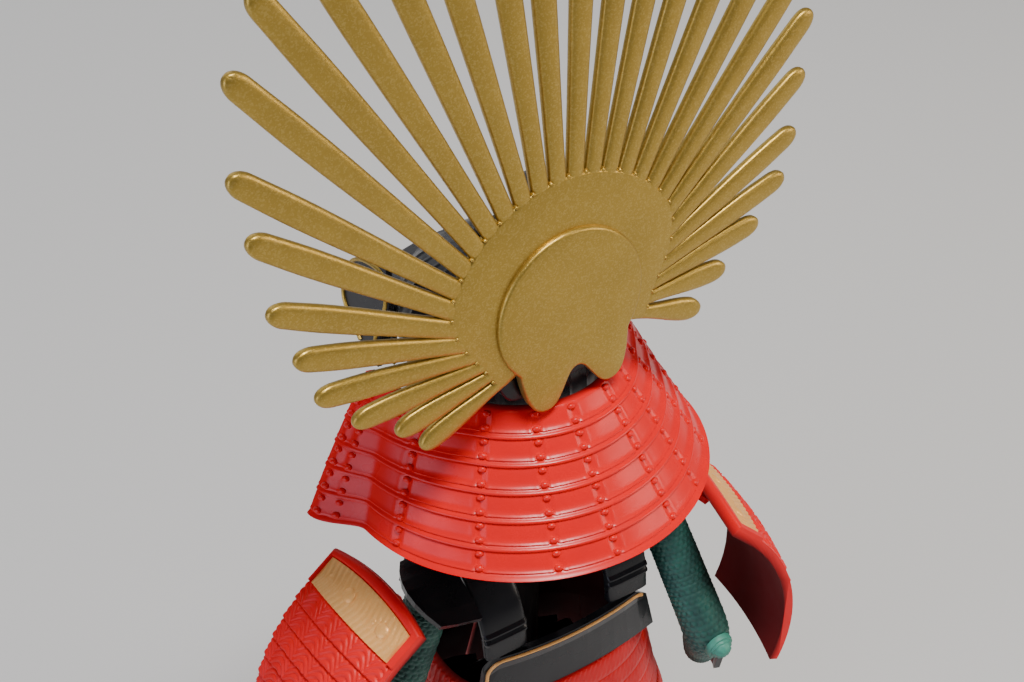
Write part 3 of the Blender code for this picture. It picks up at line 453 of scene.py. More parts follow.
TIMES = {"operation": "MULTIPLY"}
TIMES_PLUS = {"operation": "MULTIPLY_ADD"}
WOOD_GRAIN = (1.0, 1.0, 0.12)
CROWN_GILT = (1.0, 0.48, 0.13)
CROWN_FLAKE = (1.0, 0.68, 0.3)


def make_finishes(colours):
    """Every material of the armor, by name."""
    mottle = make_mottle_group()
    flake = make_flake_group()

    gilts = (
        ("gold", colours.gilt, colours.gilt_light, 0.78),
        ("gold_pale", CROWN_GILT, CROWN_FLAKE, 0.25),
    )
    for name, base, light, metallic in gilts:
        tree, shader, place = new_finish(name, base, Metallic=metallic)
        cloud = use_group(tree, mottle, place, Scale=260.0, Fine_Scale=2600.0)
        grain = use_group(tree, flake, place, Scale=8200.0)
        deep = tuple(value * 0.9 for value in base)
        tone = blend_colour(tree, cloud.outputs["Mask"], deep, tuple(base), shader)
        thin = add_node(tree, "ShaderNodeMath", TIMES, _0=grain.outputs["Mask"], _1=0.26)
        blend_colour(tree, thin.outputs[0], tone, tuple(light), shader)
        vary_roughness(tree, grain.outputs["Height"], 0.3, 0.44, shader)
        bump(tree, grain.outputs["Height"], 0.3, 0.00002, shader)

    for name, rough, coat in (("red", 0.28, 0.1), ("red_lace", 0.42, 0.0)):
        tree, shader, place = new_finish(
            name, colours.red, Roughness=rough, Coat_Weight=coat, Coat_Roughness=0.2)
        shader.inputs["Specular IOR Level"].default_value = 0.27
        cloud = use_group(tree, mottle, place, Scale=340.0, Fine_Scale=2400.0)
        deep = tuple(0.82 * a + 0.18 * b for a, b in zip(colours.red, colours.red_deep))
        tone = blend_colour(tree, cloud.outputs["Mask"], tuple(colours.red), deep, shader)
        # Painted shade: the inner faces, marked by the inside attribute, take the darker inner red
        # in place of the shadow inside the pieces; below they are also made rougher and lose their
        # coat
        inside = add_node(tree, "ShaderNodeAttribute", {"attribute_name": "inside"})
        blend_colour(tree, inside.outputs["Fac"], tone, tuple(colours.inner_shade), shader)
        spread = add_node(
            tree, "ShaderNodeMapRange", _0=cloud.outputs["Mask"], _3=rough - 0.05, _4=rough + 0.07)
        within = inside.outputs["Fac"]
        duller = add_node(
            tree, "ShaderNodeMath", TIMES_PLUS, _0=within, _1=0.4, _2=spread.outputs[0])
        tree.links.new(duller.outputs[0], shader.inputs["Roughness"])
        bare = add_node(tree, "ShaderNodeMath", TIMES_PLUS, _0=within, _1=-coat, _2=coat)
        tree.links.new(bare.outputs[0], shader.inputs["Coat Weight"])
        bump(tree, cloud.outputs["Height"], 0.12, 0.00004, shader)

    # Name, two colours, roughness from and to, cloud scales, bump strength and distance
    light = ((0.06, 0.29, 0.21), (0.03, 0.16, 0.12))
    plain = (
        ("black", colours.black, (0.011, 0.011, 0.014), 0.22, 0.36, 300.0, 1500.0, 0.1, 0.00004),
        ("green", colours.green, (0.012, 0.06, 0.05), 0.42, 0.7, 420.0, 3200.0, 0.3, 0.00006),
        ("green_light", *light, 0.5, 0.5, 500.0, 3200.0, 0.3, 0.00005),
        ("wood", colours.wood, (0.011, 0.006, 0.004), 0.42, 0.6, 1100.0, 3000.0, 0.2, 0.00008),
    )
    for name, first, second, low, high, scale, fine_scale, strength, distance in plain:
        tree, shader, place = new_finish(name, first)
        if name == "black":
            shader.inputs["Specular IOR Level"].default_value = 0.32
        if name == "wood":
            place = add_node(tree, "ShaderNodeMapping", Vector=place, Scale=WOOD_GRAIN).outputs[0]
        cloud = use_group(tree, mottle, place, Scale=scale, Fine_Scale=fine_scale)
        blend_colour(tree, cloud.outputs["Mask"], tuple(first), second, shader)
        if high > low:
            vary_roughness(tree, cloud.outputs["Mask"], low, high, shader)
        bump(tree, cloud.outputs["Height"], strength, distance, shader)


# ---- Crest ----

RAYS = 14
DISC_RADIUS = 7.6
# How far each cast ray's tip leans to the left and reaches past the outline, from the right
RAY_LEAN = np.array([
    -0.7, 0.3, 0.6, 0.2, 0.0, 0.6, 0.3, -0.2, -0.4, -0.3, -0.2, -0.5, -0.9, -1.0, -0.4,
    -0.9, -0.1, -0.45, -0.3, -0.8, -0.9, -0.1, -1.05, -0.1, -0.1, 0.0, 0.0, 0.0, 0.1])
RAY_LONGER = np.array([
    0.8, -0.1, 0.5, 0.9, 0.3, 0.5, 0.9, 0.6, 0.5, 0.3, 0.0, 0.0, 0.0, 0.0, 0.0,
    0.0, 0.0, 0.2, 0.5, 0.7, 1.3, 0.6, 0.7, 0.0, -0.3, 0.5, 0.5, 0.3, 2.1])


def crest_reach(turn):
    """Distance from the rays' focus to the crest's outline, by halving, for all turns."""
    near, far = np.zeros_like(turn), np.full_like(turn, 110.0)
    for _ in range(40):
        reach = (near + far) / 2
        u = np.abs(reach * np.sin(turn)) / CREST_HALF_SIZE[0]
        v = np.abs(RAY_FOCUS + reach * np.cos(turn) - CREST_MIDDLE) / CREST_HALF_SIZE[1]
        inside = u**2.5 + v**2.5 < 1
        near, far = np.where(inside, reach, near), np.where(inside, far, reach)
    return near


def plate_reach(turn):
    """The root plate's outline, which draws in below the rays."""
    return PLATE_REACH - 3.2 * smooth_step((np.abs(turn) - math.radians(60)) / math.radians(50))


def root_corner(place, side):
    """The foot of a ray's edge: at 8.05 n + 0.042 n |n| degrees on the root plate."""
    place = place + side / 2
    turn = np.radians(8.05) * place + np.radians(0.042) * place * np.abs(place)
    radius = plate_reach(turn)
    turn = turn - side * 0.06 / radius
    return np.stack([radius * np.sin(turn), radius * np.cos(turn)], -1)


def heading(start, end):
    """Unit vectors along and across the line between flat points, and its length."""
    length = np.linalg.norm(end - start, axis=-1)
    along = (end - start) / length[:, None]
    return along, np.stack([along[:, 1], -along[:, 0]], -1), length


def ray_parts(squareness):
    """Each ray is a flat bar with a superellipse for its section, swollen towards its tip.

    Its half width eases from the root's to the widest at 0.72 of its length, falls by a
    tenth, and closes as (1 - v^2)^(1/2) over the tip; the thickness closes as a pillow's.
    """
    number = np.arange(-RAYS, RAYS + 1).astype(float)
    turn = np.radians(5.45) * number + np.radians(0.13) * number * np.abs(number)
    tip = crest_reach(turn)[:, None] * np.stack([np.sin(turn), np.cos(turn)], -1)
    tip[:, 1] += RAY_FOCUS
    left, right = root_corner(number, -1), root_corner(number, 1)
    root = (left + right) / 2
    root_half = np.linalg.norm(right - left, axis=-1) / 2
    along, across, length = heading(root, tip)
    tip += RAY_LONGER[:, None] * along + RAY_LEAN[:, None] * across
    along, across, length = heading(root, tip)

    loop = full_turn(20)
    side = squared(np.cos(loop), squareness)
    rise = squared(np.sin(loop), squareness)
    close = np.sin(np.linspace(0, math.pi / 2, 10))
    parts = []
    for ray in range(len(number)):
        tip_start = 1 - min(1.6 / length[ray], 0.25)
        rounded = tip_start + (1 - tip_start) * close
        share = np.concatenate([np.linspace(0, tip_start, 16)[:-1], rounded])
        past = np.clip((share - tip_start) / (1 - tip_start), 0, 1)
        half = root_half[ray] + (RAY_HALF_WIDTH - root_half[ray]) * smooth_step(share / RAY_WIDEST)
        narrowed = 0.1 * smooth_step((share - RAY_WIDEST) / (1 - RAY_WIDEST))
        half *= (1 - narrowed) * np.sqrt(1 - past**2)
        thick = CREST_THICKNESS / 2 * (1 - past**5) ** 0.4
        distance = np.concatenate([[-1.6, -0.8], share * length[ray]])
        half = np.concatenate([[root_half[ray]] * 2, half])
        thick = np.concatenate([[thick[0] - 0.06] * 2, thick])
        middle = root[ray] + distance[:, None] * along[ray]
        flat = middle[:, None] + (half[:, None] * side)[..., None] * across[ray]
        depth = -CREST_RELIEF - CREST_THICKNESS / 2 + thick[:, None] * rise
        parts.append(tube_part(np.stack([flat[..., 0], depth, flat[..., 1]], -1)))
    return parts


def foot_reach(angle):
    """The raised disc's outline: a circle that runs into two rounded feet below."""
    outline = np.array([
        (5.85, -4.85), (5.45, -7.3), (4.9, -8.9), (4.2, -9.6), (3.3, -9.75), (2.5, -9.35),
        (1.75, -8.3), (1.1, -7.2), (0.55, -6.6), (0.0, -6.42)])
    outline = smooth_path(outline, 60)
    turn = np.arctan2(outline[:, 0], outline[:, 1])
    reach = np.linalg.norm(outline, axis=1)
    order = np.argsort(turn)
    bend = np.interp(np.abs(angle), turn[order], reach[order])
    return np.where(np.abs(angle) < turn.min(), DISC_RADIUS, bend)


def build_crest(sizes):
    """Rays, root plate, raised disc with its feet, and the paint beads in the notches."""
    angle = full_turn(240) - math.pi
    wide = plate_reach(angle) + 0.12
    wide -= 3.6 * smooth_step((np.abs(angle) - math.radians(123)) / math.radians(8))
    parts = ray_parts(sizes.ray_squareness)
    back = -CREST_RELIEF
    parts.append(plate_part(angle, wide, back, back - CREST_THICKNESS, 0.3))
    parts.append(plate_part(angle, foot_reach(angle), 0.0, back - CREST_THICKNESS + 0.1, 0.32))
    number = np.arange(-RAYS, RAYS).astype(float) + 0.5
    foot = root_corner(number - 0.5, 1) * 1.008
    centres = np.stack([foot[:, 0], np.full(len(foot), back - 0.16), foot[:, 1]], -1)
    bead = np.array([[0.2, 0, 0], [0, 0, 0.26], [0, 0.2, 0]])
    frames = np.broadcast_to(bead, (len(foot), 3, 3))
    parts.append(scatter_part(knob_grid(3, 6, 2.0), centres, frames))
    add_piece("crest_rays", turned(parts, CREST), "gold", ["rear_crest"], sharp=50)


# ---- Helmet ----

def bowl_reach(angle):
    """Distance from the helmet's axis to the bowl's rim, at an angle from the rear."""
    a = (np.sin(angle) / BOWL_RADII[0]) ** 2 + (np.cos(angle) / BOWL_RADII[1]) ** 2
    b = 2 * np.cos(angle) * BOWL_FORWARD / BOWL_RADII[1] ** 2
    c = (BOWL_FORWARD / BOWL_RADII[1]) ** 2 - 1
    return (-b + np.sqrt(b * b - 4 * a * c)) / (2 * a)


def build_bowl(ribs):
    """Half an ellipsoid with raised ribs, radius 1 + k |cos(n a / 2)|^14, and the board.

    Its rim goes on straight down inside the neck guard, except in front.
    """
    turn = full_turn(ribs * 12)[None, :]
    rise = np.linspace(0, math.pi / 2, 26)[:, None]
    rib = np.abs(np.cos(turn * ribs / 2)) ** 14 * np.cos(rise) ** 0.35
    drop = 0.05 + 3.2 * smooth_step((np.cos(turn) + 0.4) / 0.5)

    def shell(scale, raise_by):
        grow = scale + raise_by * rib
        x = BOWL_RADII[0] * np.cos(rise) * np.sin(turn) * grow
        y = BOWL_RADII[1] * np.cos(rise) * np.cos(turn) * grow
        z = BOWL_RADII[2] * np.sin(rise) * scale + BOWL_RIM + 0 * turn
        foot = np.stack([x[:1] * 0.985, y[:1] * 0.985, z[:1] - drop], -1)
        return np.concatenate([foot, np.stack([x, y, z], -1)]) - [0, BOWL_FORWARD, 0]

    loop = np.concatenate([shell(1.0, 0.022)[::-1], shell(0.9, 0.0)])
    bowl = (loop.reshape(-1, 3), grid_faces(*loop.shape[:2], wrap_columns=True))
    angle = full_turn(160) - math.pi
    half = 8.2 - 1.64 * np.clip(-np.cos(angle), 0, 1)
    tall = np.where(np.cos(angle) > 0, 10.5, 8.8)
    reach = (np.abs(np.sin(angle) / half) ** 9 + np.abs(np.cos(angle) / tall) ** 9) ** (-1 / 9)
    top = -CREST_RELIEF - CREST_THICKNESS - SEAT
    board = plate_part(angle, reach, top, top - 1.2, 0.3)
    parts = turned([bowl], HEAD) + turned([board], CREST)
    add_piece("helmet_ribs", parts, "black", ["helmet_bowl"], sharp=30)

    ring = full_turn(40)
    radius = np.array([2.6, 2.3, 1.7, 1.6, 0.8, 0.0])[:, None]
    level = np.array([-1.35, -0.95, -0.8, -0.55, -0.45, -0.42])[:, None] + 0 * ring
    crown = tube_part(
        np.stack([radius * np.sin(ring), radius * np.cos(ring) - BOWL_FORWARD, level], -1))
    add_piece("bowl_crown_ring", turned([crown], HEAD), "gold", sharp=30)


def guard_top(spread):
    """The reach of the neck guard's top edge, flared towards its ends."""
    seat = bowl_reach(spread * GUARD_ANGLES[0] + GUARD_ANGLES[2]) + 2 * SEAT + WALL
    return seat + GUARD_FLARES[0] * smooth_step((np.abs(spread) - 0.5) / 0.5)


def guard_surface(spread, down, proud=0.0):
    """A point of the neck guard: spread from -1 to 1, down from 0 to 1.

    The angle from the rear is spread times an end angle that falls from the top's to the
    rim's. The reach runs from the bowl's rim to the rim circle, flared at the ends.
    """
    end_top, end_rim, turn = GUARD_ANGLES
    angle = spread * (end_top + (end_rim - end_top) * down) + turn
    top = guard_top(spread)
    rim = GUARD_RIM_REACH + GUARD_FLARES[1] * smooth_step((np.abs(spread) - 0.86) / 0.14)
    reach = top + (rim - top) * down + proud
    level = GUARD_LEVELS[0] + (GUARD_LEVELS[1] - GUARD_LEVELS[0]) * down
    return np.stack([reach * np.sin(angle), reach * np.cos(angle), level + 0 * angle], -1)


GUARD_ROWS = 6
KNOT_COLUMNS = np.array(
    [0.955, 0.74, 0.484, 0.265, 0.089, -0.128, -0.292, -0.493, -0.667, -0.83, -0.955])
ROW_SHARE = np.array([
    0, 0.03, 0.12, 0.3, 0.5, 0.66, 0.7, 0.73, 0.76, 0.79, 0.82, 0.85, 0.88, 0.92, 0.96, 0.985])
ROW_PROUD = np.array([
    0, 0.06, 0.1, 0.13, 0.15, 0.17, 0.26, 0.31, 0.27, 0.15, 0.16, 0.3, 0.39, 0.41, 0.36, 0.2])
PANEL_SHARE = (0.02, 0.1, 0.78, 0.82)
PANEL_RELIEF = (0.0, 1.0, 1.0, 0.0)


def row_profile(rows, share, proud):
    """Stepped rows: where each point lies from 0 to 1, and how proud it stands."""
    down = (np.arange(rows)[:, None] + share[None, :]) / rows
    return np.append(down.ravel(), 1.0), np.append(np.tile(proud, rows), proud[-1])


def build_neck_guard(sizes):
    """Six rows, each a band with a thin ridge and a lip, and knots in upright columns.

    Beside each column the panels between the steps end in a low ridge and a groove:
    0.06 exp(-((x - 0.66) / 0.2)^2) - 0.16 exp(-(x / 0.4)^2), with x the way to the column.
    """
    down, proud = row_profile(GUARD_ROWS, ROW_SHARE, ROW_PROUD)
    proud[-4:] += np.array([0.1, 0.2, 0.22, 0.1])
    spread = np.linspace(-1, 1, 261)[None, :]
    fade = 1 - 0.55 * smooth_step((np.abs(spread) - 0.62) / 0.3)
    away = np.abs(spread[..., None] - KNOT_COLUMNS).min(axis=-1) * (22 + 14 * down[:, None])
    share = down * GUARD_ROWS - np.arange(len(down)) // len(ROW_SHARE)
    relief = 0.06 * np.exp(-((away - 0.66) / 0.2) ** 2) - 0.16 * np.exp(-((away / 0.4) ** 2))
    relief = relief * np.interp(share, PANEL_SHARE, PANEL_RELIEF)[:, None]
    outer = guard_surface(spread, down[:, None], 0.1 + (proud[:, None] - 0.1) * fade + relief)
    inner = guard_surface(spread, np.linspace(0, 1, 14)[:, None], -0.75)
    inner[-1] = guard_surface(spread, 1.0, -0.6)

    doubled = KNOT_COLUMNS[np.abs(KNOT_COLUMNS) > 0.9]
    single = KNOT_COLUMNS[np.abs(KNOT_COLUMNS) < 0.9]
    columns = np.concatenate([doubled - 0.02, doubled + 0.02, single])
    grid = np.meshgrid(columns, np.arange(GUARD_ROWS), [0.66, 0.16], indexing="ij")
    across, row, part = (values.ravel() for values in grid)
    size = np.where(part > 0.5, 1.0, 0.94)

    def surface(u, v):
        proud = np.interp(v * GUARD_ROWS % 1, ROW_SHARE, np.minimum(ROW_PROUD, 0.22))
        return guard_surface(u, v, proud)

    centres, frames = surface_frames(surface, across, (row + part) / GUARD_ROWS)
    width, height = sizes.knot_width / 2, sizes.knot_height / 2
    scale = np.stack([width * size, height * size, 0.3 + 0 * size], -1)
    knots = scatter_part(knob_grid(4, 10, 2.5), centres, frames * scale[:, None, :])
    parts = turned([wall_part(outer, inner), knots], GUARD)
    add_piece("neck_guard_rows", parts, "red", ["neck_guard"], sharp=45)


def build_visor_trim():
    """A gilt bead along the visor's free edge: the CAD reach plus the trim's radius."""
    spread = math.radians(58)
    angle = np.linspace(math.pi - spread, math.pi + spread, 60)
    swell = np.clip(np.cos((angle - math.pi) / spread * math.pi / 2), 0, 1) ** 0.6
    reach = bowl_reach(angle) + SEAT + 0.6 + 3.2 * swell
    level = np.full_like(angle, BOWL_RIM - 1.6)
    path = np.stack([reach * np.sin(angle), reach * np.cos(angle), level], -1)
    add_piece("visor_trim", turned([round_tube(path, 0.32, 10)], HEAD), "gold")


def build_turn_back_trim(side):
    """A gilt bead just inside the outline of the turn-back's outer face."""
    sign = SIDES[side]
    end = GUARD_ANGLES[0] + sign * GUARD_ANGLES[2]
    reach = float(guard_top(sign))
    rear = reach * math.cos(end) - SEAT
    shape = np.array([
        (0.0, -0.5), (0.0, 2.8), (-1.2, 5.5), (-1.5, 8.5), (-0.4, 10.3), (3.6, 9.8),
        (6.0, 7.8), (6.7, 3.8), (3.0, 0.5)])
    outline = np.stack([rear - shape[:, 0], shape[:, 1] + (1.4 if sign < 0 else 0.0)], -1)
    middle = outline.mean(axis=0)
    path = smooth_path(middle + (outline - middle) * 0.9, 70)
    flat = np.stack([path[:, 0], np.full(70, -sign * 0.5), path[:, 1]], -1)
    place = (
        GUARD @ Matrix.Translation((sign * (reach * math.sin(end) - 1.65), 0, 0))
        @ Matrix.Rotation(-sign * math.radians(7), 4, "Y") @ Matrix.Rotation(math.pi / 2, 4, "Z"))
    add_piece("turn_back_trim_" + side, turned([round_tube(flat, 0.2)], place), "gold")


# ---- Body ----

def oval(angle, half_width, half_depth, squareness):
    """A superellipse section at an angle from the rear towards the left."""
    x, y = squared(np.sin(angle), squareness), squared(np.cos(angle), squareness)
    return half_width * x, half_depth * y


def even_oval(start, end, count, half_width, half_depth, squareness):
    """Angles that step evenly along an oval's length, so that laces keep their pitch."""
    fine = np.linspace(start, end, 3000)
    length = path_length(np.stack(oval(fine, half_width, half_depth, squareness), -1))
    return np.interp(np.linspace(0, length[-1], count), length, fine), length[-1]


LACE_SHARE = np.array([0, 0.04, 0.12, 0.24, 0.5, 0.68, 0.74, 0.82, 0.9, 0.96, 0.995])
LACE_PROUD = np.array([0, 0.02, 0.04, 0.07, 0.12, 0.16, 0.2, 0.24, 0.24, 0.2, 0.05])
LACE_DEPTH = np.array([0.5, 1, 1, 1, 1, 0.9, 0.5, 0.15, 0.0, 0.0, 0.0])


def laced_wall(angles, count, pitch, top, bottom, level, rows, offset=0.0):
    """Rows of slanting laces on a rounded oval that grows from top to bottom sizes.

    Proud = row profile + 0.2 |sin(pi (s / pitch - 2 d))| on the laced part of each row,
    where s runs along the row and d counts the rows down.
    """
    turn, length = even_oval(*angles, count, *bottom, CUIRASS_SQUARENESS)
    down, proud = row_profile(rows, LACE_SHARE, LACE_PROUD)
    laced = np.append(np.tile(LACE_DEPTH, rows), 0.0)
    ribs = max(round(length / pitch), 1)
    phase = np.linspace(0, ribs, count)[None, :] - 2.0 * (down * rows)[:, None]
    strand = np.abs(np.sin(math.pi * phase))

    def surface(share, height):
        width = top[0] + (bottom[0] - top[0]) * share
        depth = top[1] + (bottom[1] - top[1]) * share
        x, y = oval(turn[None, :], width + height, depth + height, CUIRASS_SQUARENESS)
        z = level[0] + (level[1] - level[0]) * share
        return np.stack([x, y + offset, z + 0 * x], -1)

    height = proud[:, None] + 0.2 * laced[:, None] * strand
    return wall_part(surface(down[:, None], height), surface(np.linspace(0, 1, 6)[:, None], -0.8))


def build_cuirass(pitch):
    """The laced rows of the front and back halves."""
    for name, middle, offset in (("back", 0.0, 0.02), ("front", math.pi, -0.02)):
        part = laced_wall(
            (middle - math.pi / 2, middle + math.pi / 2), 420, pitch, CUIRASS_TOP, CUIRASS_BOTTOM,
            CUIRASS_LEVELS, 5, offset)
        add_piece("cuirass_rows_" + name, [part], "red_lace", ["cuirass_" + name], sharp=50)


def build_skirt(pitch):
    """Seven laced panels round the waist."""
    half = math.pi / SKIRT_PANELS - math.radians(0.3)
    for number, middle in enumerate(full_turn(SKIRT_PANELS), 1):
        part = laced_wall(
            (middle - half, middle + half), 150, pitch, SKIRT_TOP, SKIRT_BOTTOM, SKIRT_LEVELS, 4)
        name = "skirt_panel_%d" % number
        add_piece("skirt_rows_%d" % number, [part], "red_lace", [name], sharp=50)


def build_throat_guard():
    """Laced rows below the mask, banded as the neck guard's are."""
    down, proud = row_profile(4, ROW_SHARE, ROW_PROUD)
    angle = math.pi + np.linspace(-1, 1, 91)[None, :] * math.radians(72)

    def surface(share, height):
        x = (7.82 + 4.2 * share + height) * np.sin(angle)
        y = (10.52 + 3.36 * share + height) * np.cos(angle) - BOWL_FORWARD
        return np.stack([x, y, -21.4 - 14.5 * share + 0 * x], -1)

    part = wall_part(
        surface(down[:, None], proud[:, None]), surface(np.linspace(0, 1, 6)[:, None], -0.7))
    add_piece("throat_guard_rows", turned([part], HEAD), "red", ["throat_guard"], sharp=45)


def build_band_trim(facing, width):
    """A gilt bead up one side of the band, round its corners, along its top and down."""
    rise = np.linspace(1.0, 0.32, 16)
    corner = np.linspace(0, math.pi / 2, 16)[1:]
    inset = 0.45
    x_side = BAND_HALF_WIDTH - inset
    across = np.concatenate([
        np.full(16, x_side), x_side - 1.8 + 1.8 * np.cos(corner),
        np.linspace(x_side - 1.8, 0, 30)[1:]])
    drop = np.concatenate([
        BAND_HEIGHT * rise, inset + 1.95 * (1 - np.sin(corner)), np.full(29, inset)])
    half = np.stack([across / BAND_HALF_WIDTH, np.maximum(drop, inset)], -1)
    line = np.concatenate([half, half[-2:22:-1] * [-1, 1]])
    down = line[:, 1] / BAND_HEIGHT
    x = line[:, 0] * BAND_HALF_WIDTH * (1 + 0.1 * down)
    y = 10.52 + 0.5 * down - 1.2 * line[:, 0] ** 2
    path = np.stack([facing * x, facing * y, BAND_TOP - line[:, 1]], -1)
    name = "band_trim_" + ("back" if facing > 0 else "front")
    add_piece(name, [round_tube(path, width / 2)], "gold_pale")


def build_strap(side):
    """A strap whose section has rounded edges, with two hinge rolls near each end."""
    sign = SIDES[side]
    rise, end = 10.0, 9.6
    stations = [
        (end, SEAT), (0.93 * end, 0.42 * rise), (0.75 * end, 0.72 * rise),
        (0.42 * end, 0.95 * rise), (0.1 * end, rise), (-0.3 * end, 0.93 * rise),
        (-0.72 * end, 0.68 * rise), (-0.94 * end, 0.36 * rise), (-end, SEAT)]
    path = smooth_path(stations, 180)
    tangent = unit(np.gradient(path, axis=0))
    normal = np.stack([tangent[:, 1], -tangent[:, 0]], -1)
    length = path_length(path)
    rolls = np.array([2.6, 3.5, length[-1] - 2.6, length[-1] - 3.5])
    roll = 0.34 * np.exp(-(((length[:, None] - rolls) / 0.26) ** 4)).sum(axis=1)
    loop = full_turn(28)[None, :]
    across = 2.5 * squared(np.cos(loop), 5.0)
    lift = 0.65 * squared(np.sin(loop), 5.0) - 0.65
    lift = lift + roll[:, None] * (np.sin(loop) > 0.2)
    y = path[:, :1] + normal[:, :1] * lift
    z = BAND_TOP + path[:, 1:] + normal[:, 1:] * lift
    x = sign * 7.5 + across + 0 * y
    name = "shoulder_strap_" + side
    add_piece("strap_hinges_" + side, [tube_part(np.stack([x, y, z], -1))], "black", [name])


# ---- Shoulder guards ----

def sode_section(down):
    """Distance out and level at each length down from the top edge, and the unit outward.

    The crown runs straight at its own angle. Below it the angle from upright falls evenly
    from the first row's to the last row's.
    """
    crown, first, last = SODE_ANGLES
    fine = np.linspace(0, SODE_LENGTHS[0] + SODE_LENGTHS[1], 600)
    share = np.clip((fine - SODE_LENGTHS[0]) / SODE_LENGTHS[1], 0, 1)
    angle = np.where(fine < SODE_LENGTHS[0], crown, first + (last - first) * share)
    step = fine[1] - fine[0]
    out = np.concatenate([[0], np.cumsum(np.sin(angle[:-1]) * step)])
    level = np.concatenate([[0], -np.cumsum(np.cos(angle[:-1]) * step)])
    turn = np.interp(down, fine, angle)
    return np.interp(down, fine, out), np.interp(down, fine, level), np.cos(turn), np.sin(turn)


def sode_point(along, down, proud):
    """A point of a shoulder guard: along from -1 (front) to 1 (rear), down in millimetres."""
    out, level, outward, upward = sode_section(down)
    bow = SODE_BOW * (1 - along**2)
    arch = SODE_ARCH * np.clip(1 - down / SODE_LENGTHS[0], 0, 1) * (1 - along**2)
    x = out + proud * outward + bow * 0.8 - arch * math.sin(SODE_ANGLES[0])
    z = level + proud * upward + bow * 0.6 + arch * math.cos(SODE_ANGLES[0])
    return np.stack([x, along * SODE_SIZE / 2 + 0 * x, z], -1)


def build_sode(side, pitch):
    """A red crown board with a raised rim, and rows of braid in nested arches.

    Braid height = 0.2 |sin(pi (d + 1.25 |sin(pi a / width)|) / pitch)|^0.8, where a runs
    across the board, and each row leans out and steps back at its lower edge.
    """
    crown, laced = SODE_LENGTHS
    rows = 9
    along = np.sin(np.linspace(-1, 1, 181) * 1.45) / math.sin(1.45)
    rim = np.array([0, 0.06, 0.2, 0.5, 0.8, 0.94, 1.02])
    down_crown = np.concatenate([rim * 0.9, np.linspace(1.1, crown - 0.25, 5), [crown - 0.05]])
    down_laced = crown + np.linspace(0, laced, rows * 24 + 1)
    a, d = np.meshgrid(along, np.concatenate([down_crown, down_laced]))

    edge = np.minimum(d, np.where(a > 0, 1 - a, 2.4 * (1 + a)) * SODE_SIZE / 2)
    lip = smooth_step((0.95 - edge) / 0.16) * smooth_step((edge + 0.02) / 0.14)
    crown_proud = 0.05 + 0.42 * lip
    share = (d - crown) * rows / laced % 1
    inside = smooth_step(share / 0.1) * smooth_step((1 - share) / 0.12)
    wave = 1.25 * np.abs(np.sin(math.pi * (a * SODE_SIZE / 2 / 2.6 + 0.2)))
    braid = 0.2 * np.abs(np.sin(math.pi * (d + wave) / pitch)) ** 0.8
    lace_proud = -0.12 + 0.32 * share + inside * braid - 0.3 * smooth_step((share - 0.93) / 0.07)
    hem = smooth_step((d - crown - laced + 0.7) / 0.2)
    lace_proud = lace_proud * (1 - hem) + 0.3 * hem
    border = smooth_step((a - 0.93) / 0.02)
    lace_proud = lace_proud * (1 - border) + 0.16 * border
    proud = np.where(d < crown, crown_proud, lace_proud)
    outer = sode_point(a, d, proud)
    inner = sode_point(along[None, :], np.linspace(0, crown + laced, 14)[:, None], -WALL)
    part = wall_part(outer, inner)
    mirror = Matrix.Diagonal((SIDES[side], 1, 1, 1))
    where, rotation = SODE_PLACE[side]
    place = Matrix.LocRotScale(Vector(where), Euler(rotation), None) @ mirror
    add_piece("sode_braid_" + side, turned([part], place), "red_lace", ["sode_" + side], sharp=60)

    margin = 0.98 / (SODE_SIZE / 2)
    a, d = np.meshgrid(
        np.linspace(0.4 * margin - 1, 1 - margin, 131), np.linspace(0.98, crown - 0.1, 15))
    groove = np.sin(math.pi * (a * SODE_SIZE / 2 + 0.25 * np.sin(d * 1.7)) / 0.66)
    groove = 0.15 * np.abs(groove) ** 0.7
    fade = smooth_step((1 - np.abs(np.linspace(-1, 1, 131))) / 0.03)[None, :]
    plate = wall_part(
        sode_point(a, d, 0.1 + (0.08 + groove) * fade), sode_point(a[:2], d[[0, -1]], 0.02))
    spots = np.array([-0.7, -0.27, 0.3, 0.5])
    mid = np.full(4, 0.98 + (crown - 1.08) / 2)
    centres, frames = surface_frames(lambda u, v: sode_point(u, v, 0.14), spots, mid)
    scale = np.array([[0.5, 0.5, 0.2], [0.85, 0.85, 0.34], [0.4, 0.4, 0.2], [0.85, 0.85, 0.34]])
    frames = frames * scale[:, None, :]
    frames[..., 2] *= np.sign((frames[..., 2] * [1, 0, 1]).sum(-1, keepdims=True))
    bosses = scatter_part(knob_grid(5, 16, 2.2), centres, frames)
    parts = turned([plate, bosses], place)
    add_piece("crown_grooves_" + side, parts, "gold_pale", ["crown_plate_" + side], sharp=45)


# ---- Sleeves ----

ELBOW = {"left": (20.0, 5.0, 62.0), "right": (-16.6, 12.5, 62.0)}
WRIST = {"left": (22.2, -2.0, 45.5), "right": (-22.2, 6.0, 45.5)}


